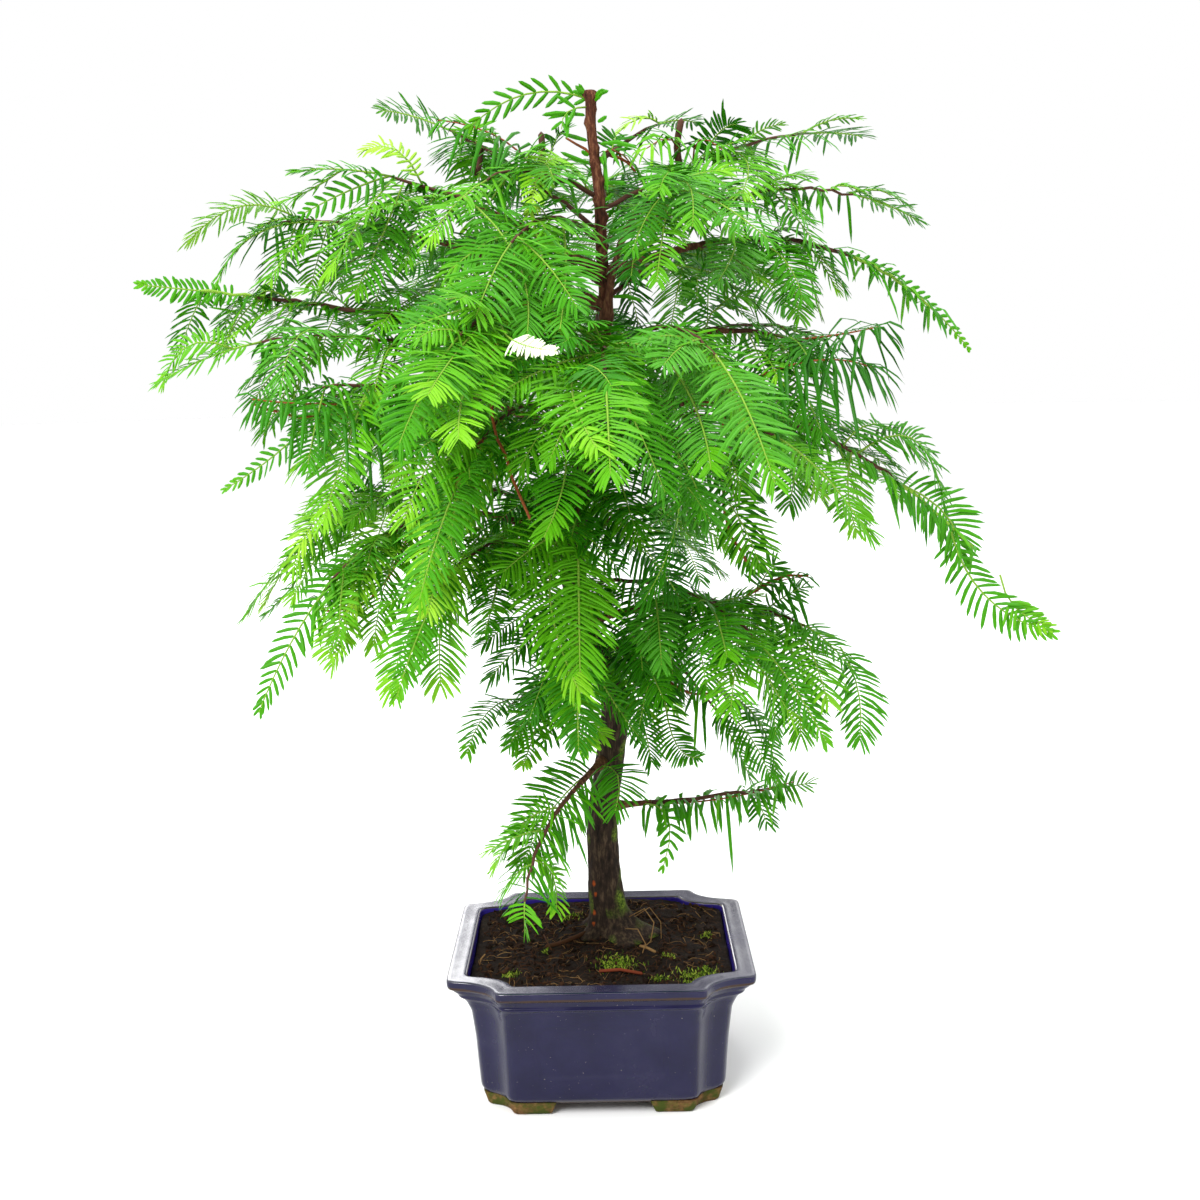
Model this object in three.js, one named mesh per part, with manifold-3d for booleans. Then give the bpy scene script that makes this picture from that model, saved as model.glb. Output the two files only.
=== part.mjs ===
// A dawn redwood bonsai in a glazed pot, with one solid for each limb and each mass of needles.
// Millimetres, +Z up. The front is -Y, and the origin is on the ground under the middle of the tree.
import * as THREE from 'three';
import { mergeVertices } from 'three/addons/utils/BufferGeometryUtils.js';
import Module from 'manifold-3d';

const wasm = await Module();
wasm.setup();

// ---------------------------------------------------------------- driving dimensions

const CLEARANCE = 0.3;          // between pieces that touch
const POT_RIM_HALF = [80, 70];  // half the pot's width and depth at its rim
const POT_FLAT_HALF = [53.5, 54]; // half the straight stretch between notched corners, front and side
const FRONT_FLAT_TAPER = 0.3;   // how much the front's stretch narrows with the inset in x
const SIDE_FLAT_TAPER = 0.25;   // the same for the side's
const POT_HEIGHT = 71;
const FOOT_HEIGHT = 7;
const FOOT_GAP_HALF = 24;       // half the gap between two feet
const FOOT_SLANT = 3;           // how much shorter a foot is at the ground
const FOOT_GROUND_INSET = [19, 10, 1]; // from the rim in x and y, and of the stretches, at the ground
const FOOT_TOP_INSET = [17.2, 8.2, 0]; // the same where the foot meets the pot
const FOOT_INNER_INSET = [32, 24, 11];
const RIM_WIDTH = 10.5;
const INNER_LEAN = [14, 4];     // how far the inner wall leans in from rim to floor, in x and y
const INNER_NOTCH = 0.45;       // the inset of the inner wall's stretches, as a share of the wall's
const FLOOR_TOP = 13;           // inside of the pot's floor
const SOIL_EDGE = 65.2;         // height of the soil along the pot's wall
const SOIL_SLOPE_SHARE = 0.6;   // how far the soil has risen halfway to the trunk
const SOIL_PAD = 5;             // level soil round the trunk's foot
const NOTCH_STEPS = 4;          // straight facets in a notched corner

// The pot's outer wall from its underside to its rim: height, and how far in from the rim in x and in y.
const POT_WALL = [
  [FOOT_HEIGHT, 16.5, 7.5],
  [10.6, 15.5, 6.2],
  [36, 13.7, 5],
  [52.5, 11.7, 4.2],
  [59, 8.5, 3],
  [62.5, 4.5, 1.6],
  [65.5, 0.8, 0.3],
  [67, 0, 0],
  [70.2, 0, 0],
  [POT_HEIGHT, 1.2, 1.2],
];

// The trunk from the soil to its pruned tip: height, centre x and y, radius.
const TRUNK = [
  [72, 6, 12, 16],
  [76, 5.2, 11.6, 12.6],
  [84, 3.8, 11, 10.4],
  [102, 2.4, 10, 9.1],
  [135, 1.5, 9, 8.2],
  [169, 6.5, 8, 7.8],
  [203, 11.2, 6, 7.6],
  [224, 3.5, 5, 7.3],
  [248, -8, 4, 6.9],
  [277, -11.5, 3, 6.4],
  [307, -8, 2, 5.9],
  [337, -2.5, 1, 5.3],
  [367, 4, 0, 4.8],
  [402, 9, 0, 4.2],
  [442, 8, 0, 3.7],
  [470, 6, 0, 3.4],
  [497, 4, 0, 3.2],
  [516, 3, 0, 3.1],
];
const TRUNK_SIDES = 10;
const ROOT_LOBES = 5;           // root flare: lobes round the foot
const ROOT_LOBE_DEPTH = 0.16;   // as a share of the foot's radius
const ROOT_LOBE_FADE = 14;      // height over which the lobes fade out

// Each limb: name, height on the trunk, where its furthest spray ends, how far its arch lifts it,
// the share of it that is a bare bough, the count of its pairs of side sprays, the length of its
// longest side spray, and where it bends if that isn't at BEND_PLACE.
const LIMBS = [
  ['right_crest', 458, [150, 66, 500], 24, 0, 4, 54],
  ['right_upper', 442, [170, 14, 451], 40, 0, 5, 54],
  ['right_arch', 426, [202, 30, 385], 74, 0.4, 4, 34],
  ['right_mid', 387, [152, -40, 362], 44, 0.4, 5, 76],
  ['right_back', 374, [176, 98, 354], 74, 0, 4, 84],
  ['right_long', 354, [230, -35, 243], 92, 0.36, 5, 56, 0.5],
  ['right_front', 337, [128, -92, 302], 74, 0, 5, 84],
  ['right_low_front', 264, [110, -84, 202], 70, 0, 5, 72],
  ['right_low', 245, [148, -50, 216], 60, 0.3, 5, 68],
  ['right_under', 230, [80, -22, 166], 56, 0, 4, 42],
  ['right_lowest', 143, [112, -8, 159], -2, 0.2, 5, 22],
  ['left_crest', 446, [-108, 55, 517], 20, 0, 4, 70],
  ['left_inner', 464, [-72, -66, 440], 44, 0, 4, 56],
  ['left_high', 426, [-138, -34, 476], 28, 0.36, 4, 72],
  ['left_upper', 410, [-204, 28, 448], 44, 0.36, 5, 54],
  ['left_far', 390, [-222, -20, 425], 4, 0.44, 4, 46],
  ['left_mid', 358, [-200, -70, 378], 56, 0, 5, 76],
  ['left_drop', 342, [-166, -104, 360], 44, 0.4, 5, 80],
  ['left_back', 337, [-206, 74, 318], 90, 0, 4, 84],
  ['left_low', 302, [-187, 14, 252], 84, 0, 6, 84],
  ['left_hang', 286, [-166, -58, 216], 112, 0.34, 6, 58],
  ['left_front_low', 270, [-90, -110, 234], 90, 0, 5, 80],
  ['left_under', 217, [-72, -10, 176], 30, 0, 4, 44],
  ['left_lowest', 172, [-38, -56, 98], 60, 0.24, 2, 24, 1.08],
  ['front_top', 440, [-46, -132, 404], 54, 0, 4, 60],
  ['front_left', 395, [-74, -180, 354], 74, 0, 5, 84],
  ['front_left_low', 347, [-72, -156, 286], 90, 0, 5, 88],
  ['front_mid', 372, [9, -196, 342], 66, 0.36, 5, 80],
  ['front_right', 374, [76, -164, 334], 90, 0, 4, 88],
  ['front_right_low', 327, [52, -130, 314], 66, 0, 5, 72],
  ['front_low', 314, [-6, -118, 240], 84, 0, 5, 76],
  ['front_lower', 258, [-8, -94, 203], 60, 0, 5, 66],
  ['second_leader', 400, [82, -98, 434], 100, 0.4, 4, 80, 0.15],
  ['back_top', 454, [15, 128, 460], 45, 0, 4, 84],
  ['back_left_high', 420, [-108, 142, 426], 60, 0, 4, 84],
  ['back_right_high', 414, [118, 138, 412], 60, 0, 4, 84],
  ['back_mid', 374, [5, 200, 352], 100, 0, 4, 88],
  ['back_left', 347, [-128, 160, 314], 110, 0, 4, 88],
  ['back_right', 332, [132, 152, 312], 110, 0, 4, 88],
  ['back_low', 292, [-48, 142, 242], 100, 0, 4, 84],
  ['back_low_right', 277, [64, 122, 248], 80, 0, 4, 84],
  ['back_under', 224, [15, 84, 192], 40, 0, 3, 70],
  ['crest_right', 480, [58, 38, 505], 14, 0, 3, 56],
  ['crest_left', 508, [-50, -4, 500], 26, 0, 2, 18],
];
const BEND_PLACE = 0.62;        // where along a limb its arch is centred
const BOUGH_RADIUS = [2.8, 1.6];  // at the trunk and at the tip
const STEM_RADIUS = [1.6, 1];
const BOUGH_SIDES = 5;
const BOUGH_STEPS = 4;
const STEM_STEPS = 4;

const TERMINAL_SHARE = 0.8;     // the spray that ends a limb, as a share of its longest side spray
const TERMINAL_MOST = 0.45;     // and at most this share of the limb
const STEM_BARE = 0.12;         // the share of a limb next to the trunk that has no sprays
const SIDE_PLACE = [0.35, 0.65]; // where in its stretch of stem a pair of level sprays grows
const SIDE_ANGLE = [0.8, 1.15]; // radians between a level spray and the stem
const SIDE_RISE = [-0.35, 0.25];
const SIDE_TRIM = [0.8, 1.05];
const SIDE_TAPER = 0.3;         // how much shorter side sprays get towards the tip
const SIDE_SAG = [0.2, 0.5];
const HANG_PLACE = [0.7, 0.9];  // the same for the pair of hanging sprays
const HANG_FORWARD = 0.55;
const HANG_SPREAD = [0.35, 0.65];
const HANG_DROP = [0.6, 0.9];
const HANG_TRIM = [0.6, 0.9];
const HANG_SAG = 0.2;
const SAG_SHORTENS = 0.3;       // how much a sagging spray draws in
const LONG_SPRAY = 46;          // a longer spray has three pairs of teeth, a shorter one two
const SPRAY_ROOT = 0.1;         // the share of a spray before its first teeth
const SPRAY_TOOTHED = 0.78;     // the share of a spray that its teeth take up
const SPRAY_HALF_WIDTH = [9, 0.24]; // at its widest: a part that is fixed, and a share of its length
const SPRAY_TEST_STEPS = 8;     // rows of test points along a spray
const RACHIS_RADIUS = 1;        // a spray's midrib
const TOOTH_LEAN = 0.5;         // how far a tooth leans forward, as a share of the spray's half width
const TOOTH_DROOP = 0.12;       // how far its tip drops, likewise
const TRIM_STEPS = [1, 0.8, 0.64, 0.5, 0.4]; // shorter tries for a spray that has no room
const MASS_MARGIN = 7;          // kept between the test points of two masses
const SPRAY_MARGIN = 4;         // kept between those of two sprays of one mass, past their roots
const LIMB_MARGIN = 2.2;        // kept between a spray and the trunk
const LIMB_POINT_STEP = 5;      // between the test points along a limb
const FIRST_SEED = 101;
const LOWEST_SPRAY = 94;        // height above which all sprays stay

// ---------------------------------------------------------------- solids

function solidOf(geometry) {
  geometry.deleteAttribute('normal');
  geometry.deleteAttribute('uv');
  const merged = mergeVertices(geometry, 1e-3);
  return new wasm.Manifold(new wasm.Mesh({
    numProp: 3,
    vertProperties: new Float32Array(merged.attributes.position.array),
    triVerts: new Uint32Array(merged.index.array),
  }));
}

function geometryOf(solid) {
  const mesh = solid.getMesh();
  const geometry = new THREE.BufferGeometry();
  geometry.setAttribute('position', new THREE.BufferAttribute(mesh.vertProperties, 3));
  geometry.setIndex(new THREE.BufferAttribute(mesh.triVerts, 1));
  return geometry;
}

// A closed skin through rings of points that run anticlockwise, seen against the way the rings go.
function loft(rings) {
  const count = rings[0].length;
  const middle = (ring) => ring.reduce((sum, p) => sum.add(p), new THREE.Vector3()).divideScalar(count);
  const points = [...rings.flat(), middle(rings[0]), middle(rings.at(-1))];
  const foot = points.length - 2;
  const head = points.length - 1;
  const last = (rings.length - 1) * count;
  const faces = [];
  for (let i = 0; i < count; i += 1) {
    const next = (i + 1) % count;
    faces.push(foot, next, i, head, last + i, last + next);
    for (let ring = 0; ring < last; ring += count) {
      faces.push(ring + i, ring + next, ring + count + next);
      faces.push(ring + i, ring + count + next, ring + count + i);
    }
  }
  const geometry = new THREE.BufferGeometry().setFromPoints(points);
  geometry.setIndex(faces);
  return geometry;
}

// ---------------------------------------------------------------- pot and soil

// A rectangle whose corners are cut by concave quarter ellipses, at one height.
function notchedOutline(halfX, halfY, flatX, flatY, height) {
  const points = [];
  for (const [signX, signY] of [[1, 1], [-1, 1], [-1, -1], [1, -1]]) {
    for (let step = 0; step <= NOTCH_STEPS; step += 1) {
      const turn = (signX === signY ? step : NOTCH_STEPS - step) / NOTCH_STEPS;
      const angle = (turn * Math.PI) / 2;
      points.push(new THREE.Vector3(
        signX * (halfX - (halfX - flatX) * Math.sin(angle)),
        signY * (halfY - (halfY - flatY) * Math.cos(angle)),
        height,
      ));
    }
  }
  return points;
}

// The pot's outline at one height, set in from the rim, with the inset of its flats given apart.
function potOutline(height, insetX, insetY, flatInset = 0) {
  return notchedOutline(
    POT_RIM_HALF[0] - insetX,
    POT_RIM_HALF[1] - insetY,
    POT_FLAT_HALF[0] - insetX * FRONT_FLAT_TAPER - flatInset,
    POT_FLAT_HALF[1] - insetX * SIDE_FLAT_TAPER - flatInset,
    height,
  );
}

// The pot's inner wall from its floor to the soil's edge, drawn in by a clearance for the soil.
function potInside(clearance) {
  const wall = RIM_WIDTH + clearance;
  const [leanX, leanY] = INNER_LEAN;
  return [
    potOutline(FLOOR_TOP + clearance, wall + leanX, wall + leanY, wall * INNER_NOTCH),
    potOutline(SOIL_EDGE, wall, wall, wall * INNER_NOTCH),
  ];
}

// The ring that the four feet are cut from, sunk a little into the pot's underside.
function footRing() {
  const sunk = FOOT_HEIGHT + 1;
  const outer = [potOutline(0, ...FOOT_GROUND_INSET), potOutline(sunk, ...FOOT_TOP_INSET)];
  const inner = [potOutline(-1, ...FOOT_INNER_INSET), potOutline(sunk - 0.5, ...FOOT_INNER_INSET)];
  return solidOf(loft(outer)).subtract(solidOf(loft(inner)));
}

// The slanted-sided gap between two feet, run right through the ring of feet along one axis.
function footGap(turn) {
  const low = FOOT_GAP_HALF + FOOT_SLANT;
  const shape = new THREE.Shape([
    new THREE.Vector2(-low, 0),
    new THREE.Vector2(low, 0),
    new THREE.Vector2(FOOT_GAP_HALF, FOOT_HEIGHT),
    new THREE.Vector2(-FOOT_GAP_HALF, FOOT_HEIGHT),
  ]);
  const depth = POT_RIM_HALF[0] * 2;
  const geometry = new THREE.ExtrudeGeometry(shape, { depth, bevelEnabled: false });
  geometry.translate(0, 0, -depth / 2);
  geometry.rotateX(Math.PI / 2);
  geometry.rotateZ(turn);
  return solidOf(geometry);
}

function pot() {
  const wall = solidOf(loft(POT_WALL.map(([height, inX, inY]) => potOutline(height, inX, inY))));
  const mouth = potOutline(POT_HEIGHT + 1, RIM_WIDTH, RIM_WIDTH, RIM_WIDTH * INNER_NOTCH);
  const hollow = solidOf(loft([...potInside(0), mouth]));
  const feet = footRing().subtract(footGap(0)).subtract(footGap(Math.PI / 2));
  return wall.subtract(hollow).add(feet);
}

// The soil fills the pot and mounds up to a level pad under the trunk.
function soil() {
  const [foot, x, y, radius] = TRUNK[0];
  const pad = radius + SOIL_PAD;
  const crown = foot - CLEARANCE;
  const [floor, edge] = potInside(CLEARANCE);
  const padRing = edge.map((point) => {
    const angle = Math.atan2(point.y - y, point.x - x);
    return new THREE.Vector3(x + pad * Math.cos(angle), y + pad * Math.sin(angle), crown);
  });
  const slope = edge.map((point, i) => {
    const between = point.clone().lerp(padRing[i], 0.5);
    return between.setZ(SOIL_EDGE + (crown - SOIL_EDGE) * SOIL_SLOPE_SHARE);
  });
  return solidOf(loft([floor, edge, slope, padRing]));
}

// ---------------------------------------------------------------- trunk

function trunkAt(height) {
  let i = 1;
  while (i < TRUNK.length - 1 && TRUNK[i][0] < height) i += 1;
  const [lowZ, lowX, lowY, lowR] = TRUNK[i - 1];
  const [highZ, highX, highY, highR] = TRUNK[i];
  const t = (height - lowZ) / (highZ - lowZ);
  return {
    centre: new THREE.Vector3(lowX + (highX - lowX) * t, lowY + (highY - lowY) * t, height),
    radius: lowR + (highR - lowR) * t,
  };
}

// The trunk's skin, drawn out by a clearance for cutting the limbs that meet it.
function trunk(clearance) {
  const foot = TRUNK[0][0];
  const rings = TRUNK.map(([height, x, y, radius]) => {
    const lobe = ROOT_LOBE_DEPTH * Math.max(0, 1 - (height - foot) / ROOT_LOBE_FADE);
    return Array.from({ length: TRUNK_SIDES }, (_, i) => {
      const angle = (i / TRUNK_SIDES) * Math.PI * 2;
      const reach = radius * (1 + lobe * Math.cos(ROOT_LOBES * angle)) + clearance;
      return new THREE.Vector3(x + reach * Math.cos(angle), y + reach * Math.sin(angle), height);
    });
  });
  rings.at(-1).forEach((point) => point.setZ(point.z + clearance));
  return solidOf(loft(rings));
}

// ---------------------------------------------------------------- limbs

const UP = new THREE.Vector3(0, 0, 1);

// The unit vector to the right of a course, level with the ground.
function besideOf(course) {
  return new THREE.Vector3().crossVectors(course, UP).normalize();
}

function limbCurve({ height, tip, lift, place }) {
  const start = trunkAt(height).centre;
  const end = new THREE.Vector3(...tip);
  const bend = start.clone().lerp(end, place);
  bend.z += lift;
  return new THREE.QuadraticBezierCurve3(start, bend, end);
}

// A tapering round bough along the first share of a curve.
function boughSolid(curve, to) {
  const rings = [];
  for (let step = 0; step <= BOUGH_STEPS; step += 1) {
    const share = step / BOUGH_STEPS;
    const t = to * share;
    const course = curve.getTangent(t);
    const beside = besideOf(course);
    const above = new THREE.Vector3().crossVectors(beside, course);
    const radius = BOUGH_RADIUS[0] + (BOUGH_RADIUS[1] - BOUGH_RADIUS[0]) * share;
    const centre = curve.getPoint(t);
    rings.push(Array.from({ length: BOUGH_SIDES }, (_, i) => {
      const angle = (i / BOUGH_SIDES) * Math.PI * 2;
      return centre.clone()
        .addScaledVector(above, radius * Math.cos(angle))
        .addScaledVector(beside, radius * Math.sin(angle));
    }));
  }
  return solidOf(loft(rings));
}

// ---------------------------------------------------------------- sprays of needles

// Even random numbers from 0 to 1, the same for the same seed.
function dice(seed) {
  let state = seed;
  return () => {
    state = (state + 0x6d2b79f5) >>> 0;
    let mixed = Math.imul(state ^ (state >>> 15), state | 1);
    mixed ^= mixed + Math.imul(mixed ^ (mixed >>> 7), mixed | 61);
    return ((mixed ^ (mixed >>> 14)) >>> 0) / 4294967296;
  };
}

// Half the width of a spray at a share of the way along it: widest from a fifth to a half.
function sprayHalfWidth(length, share) {
  const [fixed, growing] = SPRAY_HALF_WIDTH;
  return (fixed + growing * length) * Math.min(1, 0.66 + 1.6 * share, 1.5 - 1.05 * share);
}

// A spray that leaves a point on a course and sags under its own weight.
function sprayFrom(origin, course, length, sag) {
  const bend = origin.clone().addScaledVector(course, length / 2);
  const end = origin.clone().addScaledVector(course, length * (1 - SAG_SHORTENS * sag));
  end.z -= length * sag;
  return { curve: new THREE.QuadraticBezierCurve3(origin, bend, end), length };
}

// The tries for side sprays along one limb's stem, in order: pairs of level ones and hanging ones.
function sideTries({ curve, pairs, longest, bare, last }, roll) {
  const within = ([least, most]) => least + (most - least) * roll();
  const start = Math.max(bare, STEM_BARE);
  const tries = [];
  for (let pair = 0; pair < pairs; pair += 1) {
    for (const side of [1, -1]) {
      const share = (pair + within(SIDE_PLACE)) / pairs;
      const t = start + (last - start) * share;
      const angle = within(SIDE_ANGLE);
      const course = curve.getTangent(t);
      const level = course.clone().multiplyScalar(Math.cos(angle));
      level.addScaledVector(besideOf(course), side * Math.sin(angle));
      level.z += within(SIDE_RISE);
      const length = longest * (1 - SIDE_TAPER * share) * within(SIDE_TRIM);
      tries.push({ t, course: level.normalize(), length, sag: within(SIDE_SAG) });
    }
    const t = start + ((last - start) * (pair + within(HANG_PLACE))) / pairs;
    for (const side of [1, -1]) {
      const course = curve.getTangent(t);
      const hang = course.clone().multiplyScalar(HANG_FORWARD);
      hang.addScaledVector(besideOf(course), side * within(HANG_SPREAD));
      hang.z -= within(HANG_DROP);
      tries.push({ t, course: hang.normalize(), length: longest * within(HANG_TRIM), sag: HANG_SAG });
    }
  }
  return tries;
}

// Points spread over a spray's outline, to test where it would go.
function sprayTestPoints({ curve, length }) {
  const points = [];
  for (let step = 2; step <= SPRAY_TEST_STEPS; step += 1) {
    const share = step / SPRAY_TEST_STEPS;
    const centre = curve.getPoint(share);
    const beside = besideOf(curve.getTangent(share));
    for (const reach of [-1, -0.5, 0, 0.5, 1]) {
      points.push(centre.clone().addScaledVector(beside, reach * sprayHalfWidth(length, share)));
    }
  }
  return points;
}

// The space that is taken: points filed with their owner, under the cube of space they lie in.
const taken = new Map();

function cubeOf(point) {
  return [point.x, point.y, point.z].map((value) => Math.floor(value / MASS_MARGIN));
}

function take(points, owner) {
  for (const point of points) {
    const key = cubeOf(point).join();
    if (!taken.has(key)) taken.set(key, []);
    taken.get(key).push({ point, owner });
  }
}

function isFree(point, owner) {
  const [x, y, z] = cubeOf(point);
  for (let i = x - 1; i <= x + 1; i += 1) {
    for (let j = y - 1; j <= y + 1; j += 1) {
      for (let k = z - 1; k <= z + 1; k += 1) {
        const near = taken.get([i, j, k].join()) ?? [];
        const blocks = (other) => (
          other.point.distanceTo(point) < (other.owner === owner ? SPRAY_MARGIN : MASS_MARGIN)
        );
        if (near.some(blocks)) return false;
      }
    }
  }
  return true;
}

// True where a spray stays off the trunk and the ground, and out of all the space that is taken.
function hasRoom(points, owner) {
  return points.every((point) => {
    const { centre, radius } = trunkAt(point.z);
    const offTrunk = Math.hypot(point.x - centre.x, point.y - centre.y) > radius + LIMB_MARGIN;
    return offTrunk && point.z > LOWEST_SPRAY && isFree(point, owner);
  });
}

// A three-sided midrib that carries teeth on both sides. It grows out of the stem's sections where
// they are given, and otherwise out of a point inside the stem.
function blade(spray, stem = []) {
  const { curve, length } = spray;
  const pairs = length > LONG_SPRAY ? 3 : 2;
  const points = [];
  const faces = [];
  const add = (centre, ...shifts) => {
    const point = centre.clone();
    for (const [direction, amount] of shifts) point.addScaledVector(direction, amount);
    points.push(point);
    return points.length - 1;
  };
  const frameAt = (path, share) => {
    const course = path.getTangent(share);
    const beside = besideOf(course);
    const above = new THREE.Vector3().crossVectors(beside, course);
    return { course, beside, above, centre: path.getPoint(share) };
  };
  const section = ({ beside, above, centre }, radius) => ({
    top: add(centre, [above, radius]),
    left: add(centre, [beside, -radius]),
    right: add(centre, [beside, radius]),
  });
  const join = (near, far) => {
    faces.push(near.left, far.left, far.right, near.left, far.right, near.right);
  };
  const bare = stem.map(({ path, share, radius }) => section(frameAt(path, share), radius));
  const toothed = Array.from({ length: pairs + 1 }, (_, i) => (
    section(frameAt(curve, SPRAY_ROOT + (i / pairs) * SPRAY_TOOTHED), RACHIS_RADIUS)
  ));
  [...bare, toothed[0]].forEach((far, i, all) => {
    if (i === 0) return;
    const near = all[i - 1];
    join(near, far);
    faces.push(near.top, far.top, far.left, near.top, far.left, near.left);
    faces.push(near.top, near.right, far.right, near.top, far.right, far.top);
  });
  for (let i = 0; i < pairs; i += 1) {
    const share = SPRAY_ROOT + ((i + 0.5) / pairs) * SPRAY_TOOTHED;
    const { course, beside, above, centre } = frameAt(curve, share);
    const width = sprayHalfWidth(length, share);
    const lean = [[course, width * TOOTH_LEAN], [above, -width * TOOTH_DROOP]];
    const near = toothed[i];
    const far = toothed[i + 1];
    const left = add(centre, [beside, -width], ...lean);
    const right = add(centre, [beside, width], ...lean);
    faces.push(near.top, left, near.left, near.top, far.top, left, far.top, far.left, left);
    faces.push(near.top, near.right, right, near.top, right, far.top, far.top, right, far.right);
    faces.push(near.left, left, far.left, near.right, far.right, right);
    join(near, far);
  }
  const end = toothed[pairs];
  const tip = add(curve.getPoint(1));
  if (stem.length > 0) {
    faces.push(bare[0].top, bare[0].left, bare[0].right);
  } else {
    const root = add(curve.v0, [UP, RACHIS_RADIUS * 0.4]);
    const { top, left, right } = toothed[0];
    faces.push(root, top, left, root, left, right, root, right, top);
  }
  faces.push(end.top, tip, end.left, end.top, end.right, tip, end.left, tip, end.right);
  const geometry = new THREE.BufferGeometry().setFromPoints(points);
  geometry.setIndex(faces);
  return solidOf(geometry);
}

// ---------------------------------------------------------------- the crown

// A limb's curve, the shares of it where its bough and its stem end, and the spray that ends it.
function planLimb([name, height, tip, lift, bare, pairs, longest, place = BEND_PLACE], owner) {
  const curve = limbCurve({ height, tip, lift, place });
  const whole = curve.getLength();
  const last = 1 - Math.min((TERMINAL_SHARE * longest) / whole, TERMINAL_MOST);
  const bend = curve.v1.clone().lerp(curve.v2, last);
  const rest = new THREE.QuadraticBezierCurve3(curve.getPoint(last), bend, curve.v2);
  const limb = { name, curve, whole, bare, pairs, longest, last };
  limb.sprays = [{ curve: rest, length: rest.getLength() }];
  limb.tries = sideTries(limb, dice(FIRST_SEED + owner));
  return limb;
}

const limbs = LIMBS.map(planLimb);
limbs.forEach(({ curve, whole, sprays }, owner) => {
  take(curve.getPoints(Math.ceil(whole / LIMB_POINT_STEP)), owner);
  take(sprayTestPoints(sprays[0]), owner);
});

// The limbs take turns, so that each gets its share of the space.
const mostTries = Math.max(...limbs.map(({ tries }) => tries.length));
for (let turn = 0; turn < mostTries; turn += 1) {
  limbs.forEach(({ curve, sprays, tries }, owner) => {
    if (turn >= tries.length) return;
    const { t, course, length, sag } = tries[turn];
    for (const trim of TRIM_STEPS) {
      const spray = sprayFrom(curve.getPoint(t), course, length * trim, sag);
      const points = sprayTestPoints(spray);
      if (hasRoom(points, owner)) {
        sprays.push(spray);
        take(points, owner);
        break;
      }
    }
  });
}

// A mass: a stem that runs on into its last spray, with the side sprays fused to it.
function foliage({ curve, whole, bare, last, sprays }, trunkCut) {
  const start = bare > 0 ? bare + CLEARANCE / whole : 0;
  const [thick, thin] = STEM_RADIUS;
  const stem = Array.from({ length: STEM_STEPS + 1 }, (_, i) => ({
    path: curve,
    share: start + ((last - start) * i) / STEM_STEPS,
    radius: thick + ((thin - thick) * i) / STEM_STEPS,
  }));
  const [end, ...sides] = sprays;
  const mass = wasm.Manifold.union([blade(end, stem), ...sides.map((spray) => blade(spray))]);
  const clear = bare > 0 ? mass : mass.subtract(trunkCut);
  return clear.decompose().sort((a, b) => b.volume() - a.volume())[0];
}

// ---------------------------------------------------------------- the whole

const glaze = { color: 0x24264f, roughness: 0.2, metalness: 0 };
const peat = { color: 0x2b1d14, roughness: 1, metalness: 0 };
const oldBark = { color: 0x33251d, roughness: 0.95, metalness: 0 };
const youngBark = { color: 0x5c3425, roughness: 0.85, metalness: 0 };
const needles = { color: 0x3f9a22, roughness: 0.6, metalness: 0 };

const tree = new THREE.Group();

function place(name, solid, finish) {
  const mesh = new THREE.Mesh(geometryOf(solid), new THREE.MeshStandardMaterial(finish));
  mesh.name = name;
  tree.add(mesh);
}

place('pot', pot(), glaze);
place('soil', soil(), peat);
place('trunk', trunk(0), oldBark);
const trunkCut = trunk(CLEARANCE);
for (const limb of limbs) {
  const { name, curve, bare } = limb;
  if (bare > 0) {
    const bough = boughSolid(curve, bare).subtract(trunkCut);
    place(`bough_${name}`, bough, youngBark);
  }
  place(`needles_${name}`, foliage(limb, trunkCut), needles);
}

// The origin comes under the middle of the whole.
const bounds = new THREE.Box3().setFromObject(tree);
const middle = bounds.getCenter(new THREE.Vector3());
tree.position.set(-middle.x, -middle.y, -bounds.min.z);

export default tree;
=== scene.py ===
"""A dawn redwood bonsai in a glazed pot, dressed over its CAD frame.

Shapes are worked out in millimetres in the pot's own frame: +Z up from the ground, -Y the front, and
the middle of the pot at x = y = 0. Each mesh is moved to the part's frame, in metres, as it is made.
"""
import math
import random
from dataclasses import dataclass, field
from itertools import product

import bmesh
import bpy
import numpy as np
from mathutils import Matrix, Vector, kdtree, noise


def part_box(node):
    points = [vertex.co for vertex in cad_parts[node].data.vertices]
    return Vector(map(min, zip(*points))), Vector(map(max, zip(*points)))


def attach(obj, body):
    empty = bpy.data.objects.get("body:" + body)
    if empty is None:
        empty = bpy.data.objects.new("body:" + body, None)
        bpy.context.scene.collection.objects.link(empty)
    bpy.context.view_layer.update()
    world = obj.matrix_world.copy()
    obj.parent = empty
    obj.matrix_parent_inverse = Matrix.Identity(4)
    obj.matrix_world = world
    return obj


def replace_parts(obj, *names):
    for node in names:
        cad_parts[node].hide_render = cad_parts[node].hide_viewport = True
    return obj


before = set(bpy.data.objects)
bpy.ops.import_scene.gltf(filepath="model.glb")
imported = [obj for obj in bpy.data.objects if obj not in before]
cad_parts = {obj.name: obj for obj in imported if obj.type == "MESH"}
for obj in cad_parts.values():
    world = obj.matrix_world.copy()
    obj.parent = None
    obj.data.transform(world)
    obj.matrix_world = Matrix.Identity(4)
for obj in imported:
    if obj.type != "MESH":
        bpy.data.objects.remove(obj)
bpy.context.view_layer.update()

BODY = "root"
MM = 0.001
pot_lo, pot_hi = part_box("pot")
POT_MIDDLE = Vector(((pot_lo.x + pot_hi.x) / 2, (pot_lo.y + pot_hi.y) / 2, 0))
TO_PART = Matrix.Translation(POT_MIDDLE) @ Matrix.Scale(MM, 4)


# ---------------------------------------------------------------- sizes that the CAD source has too

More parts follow.
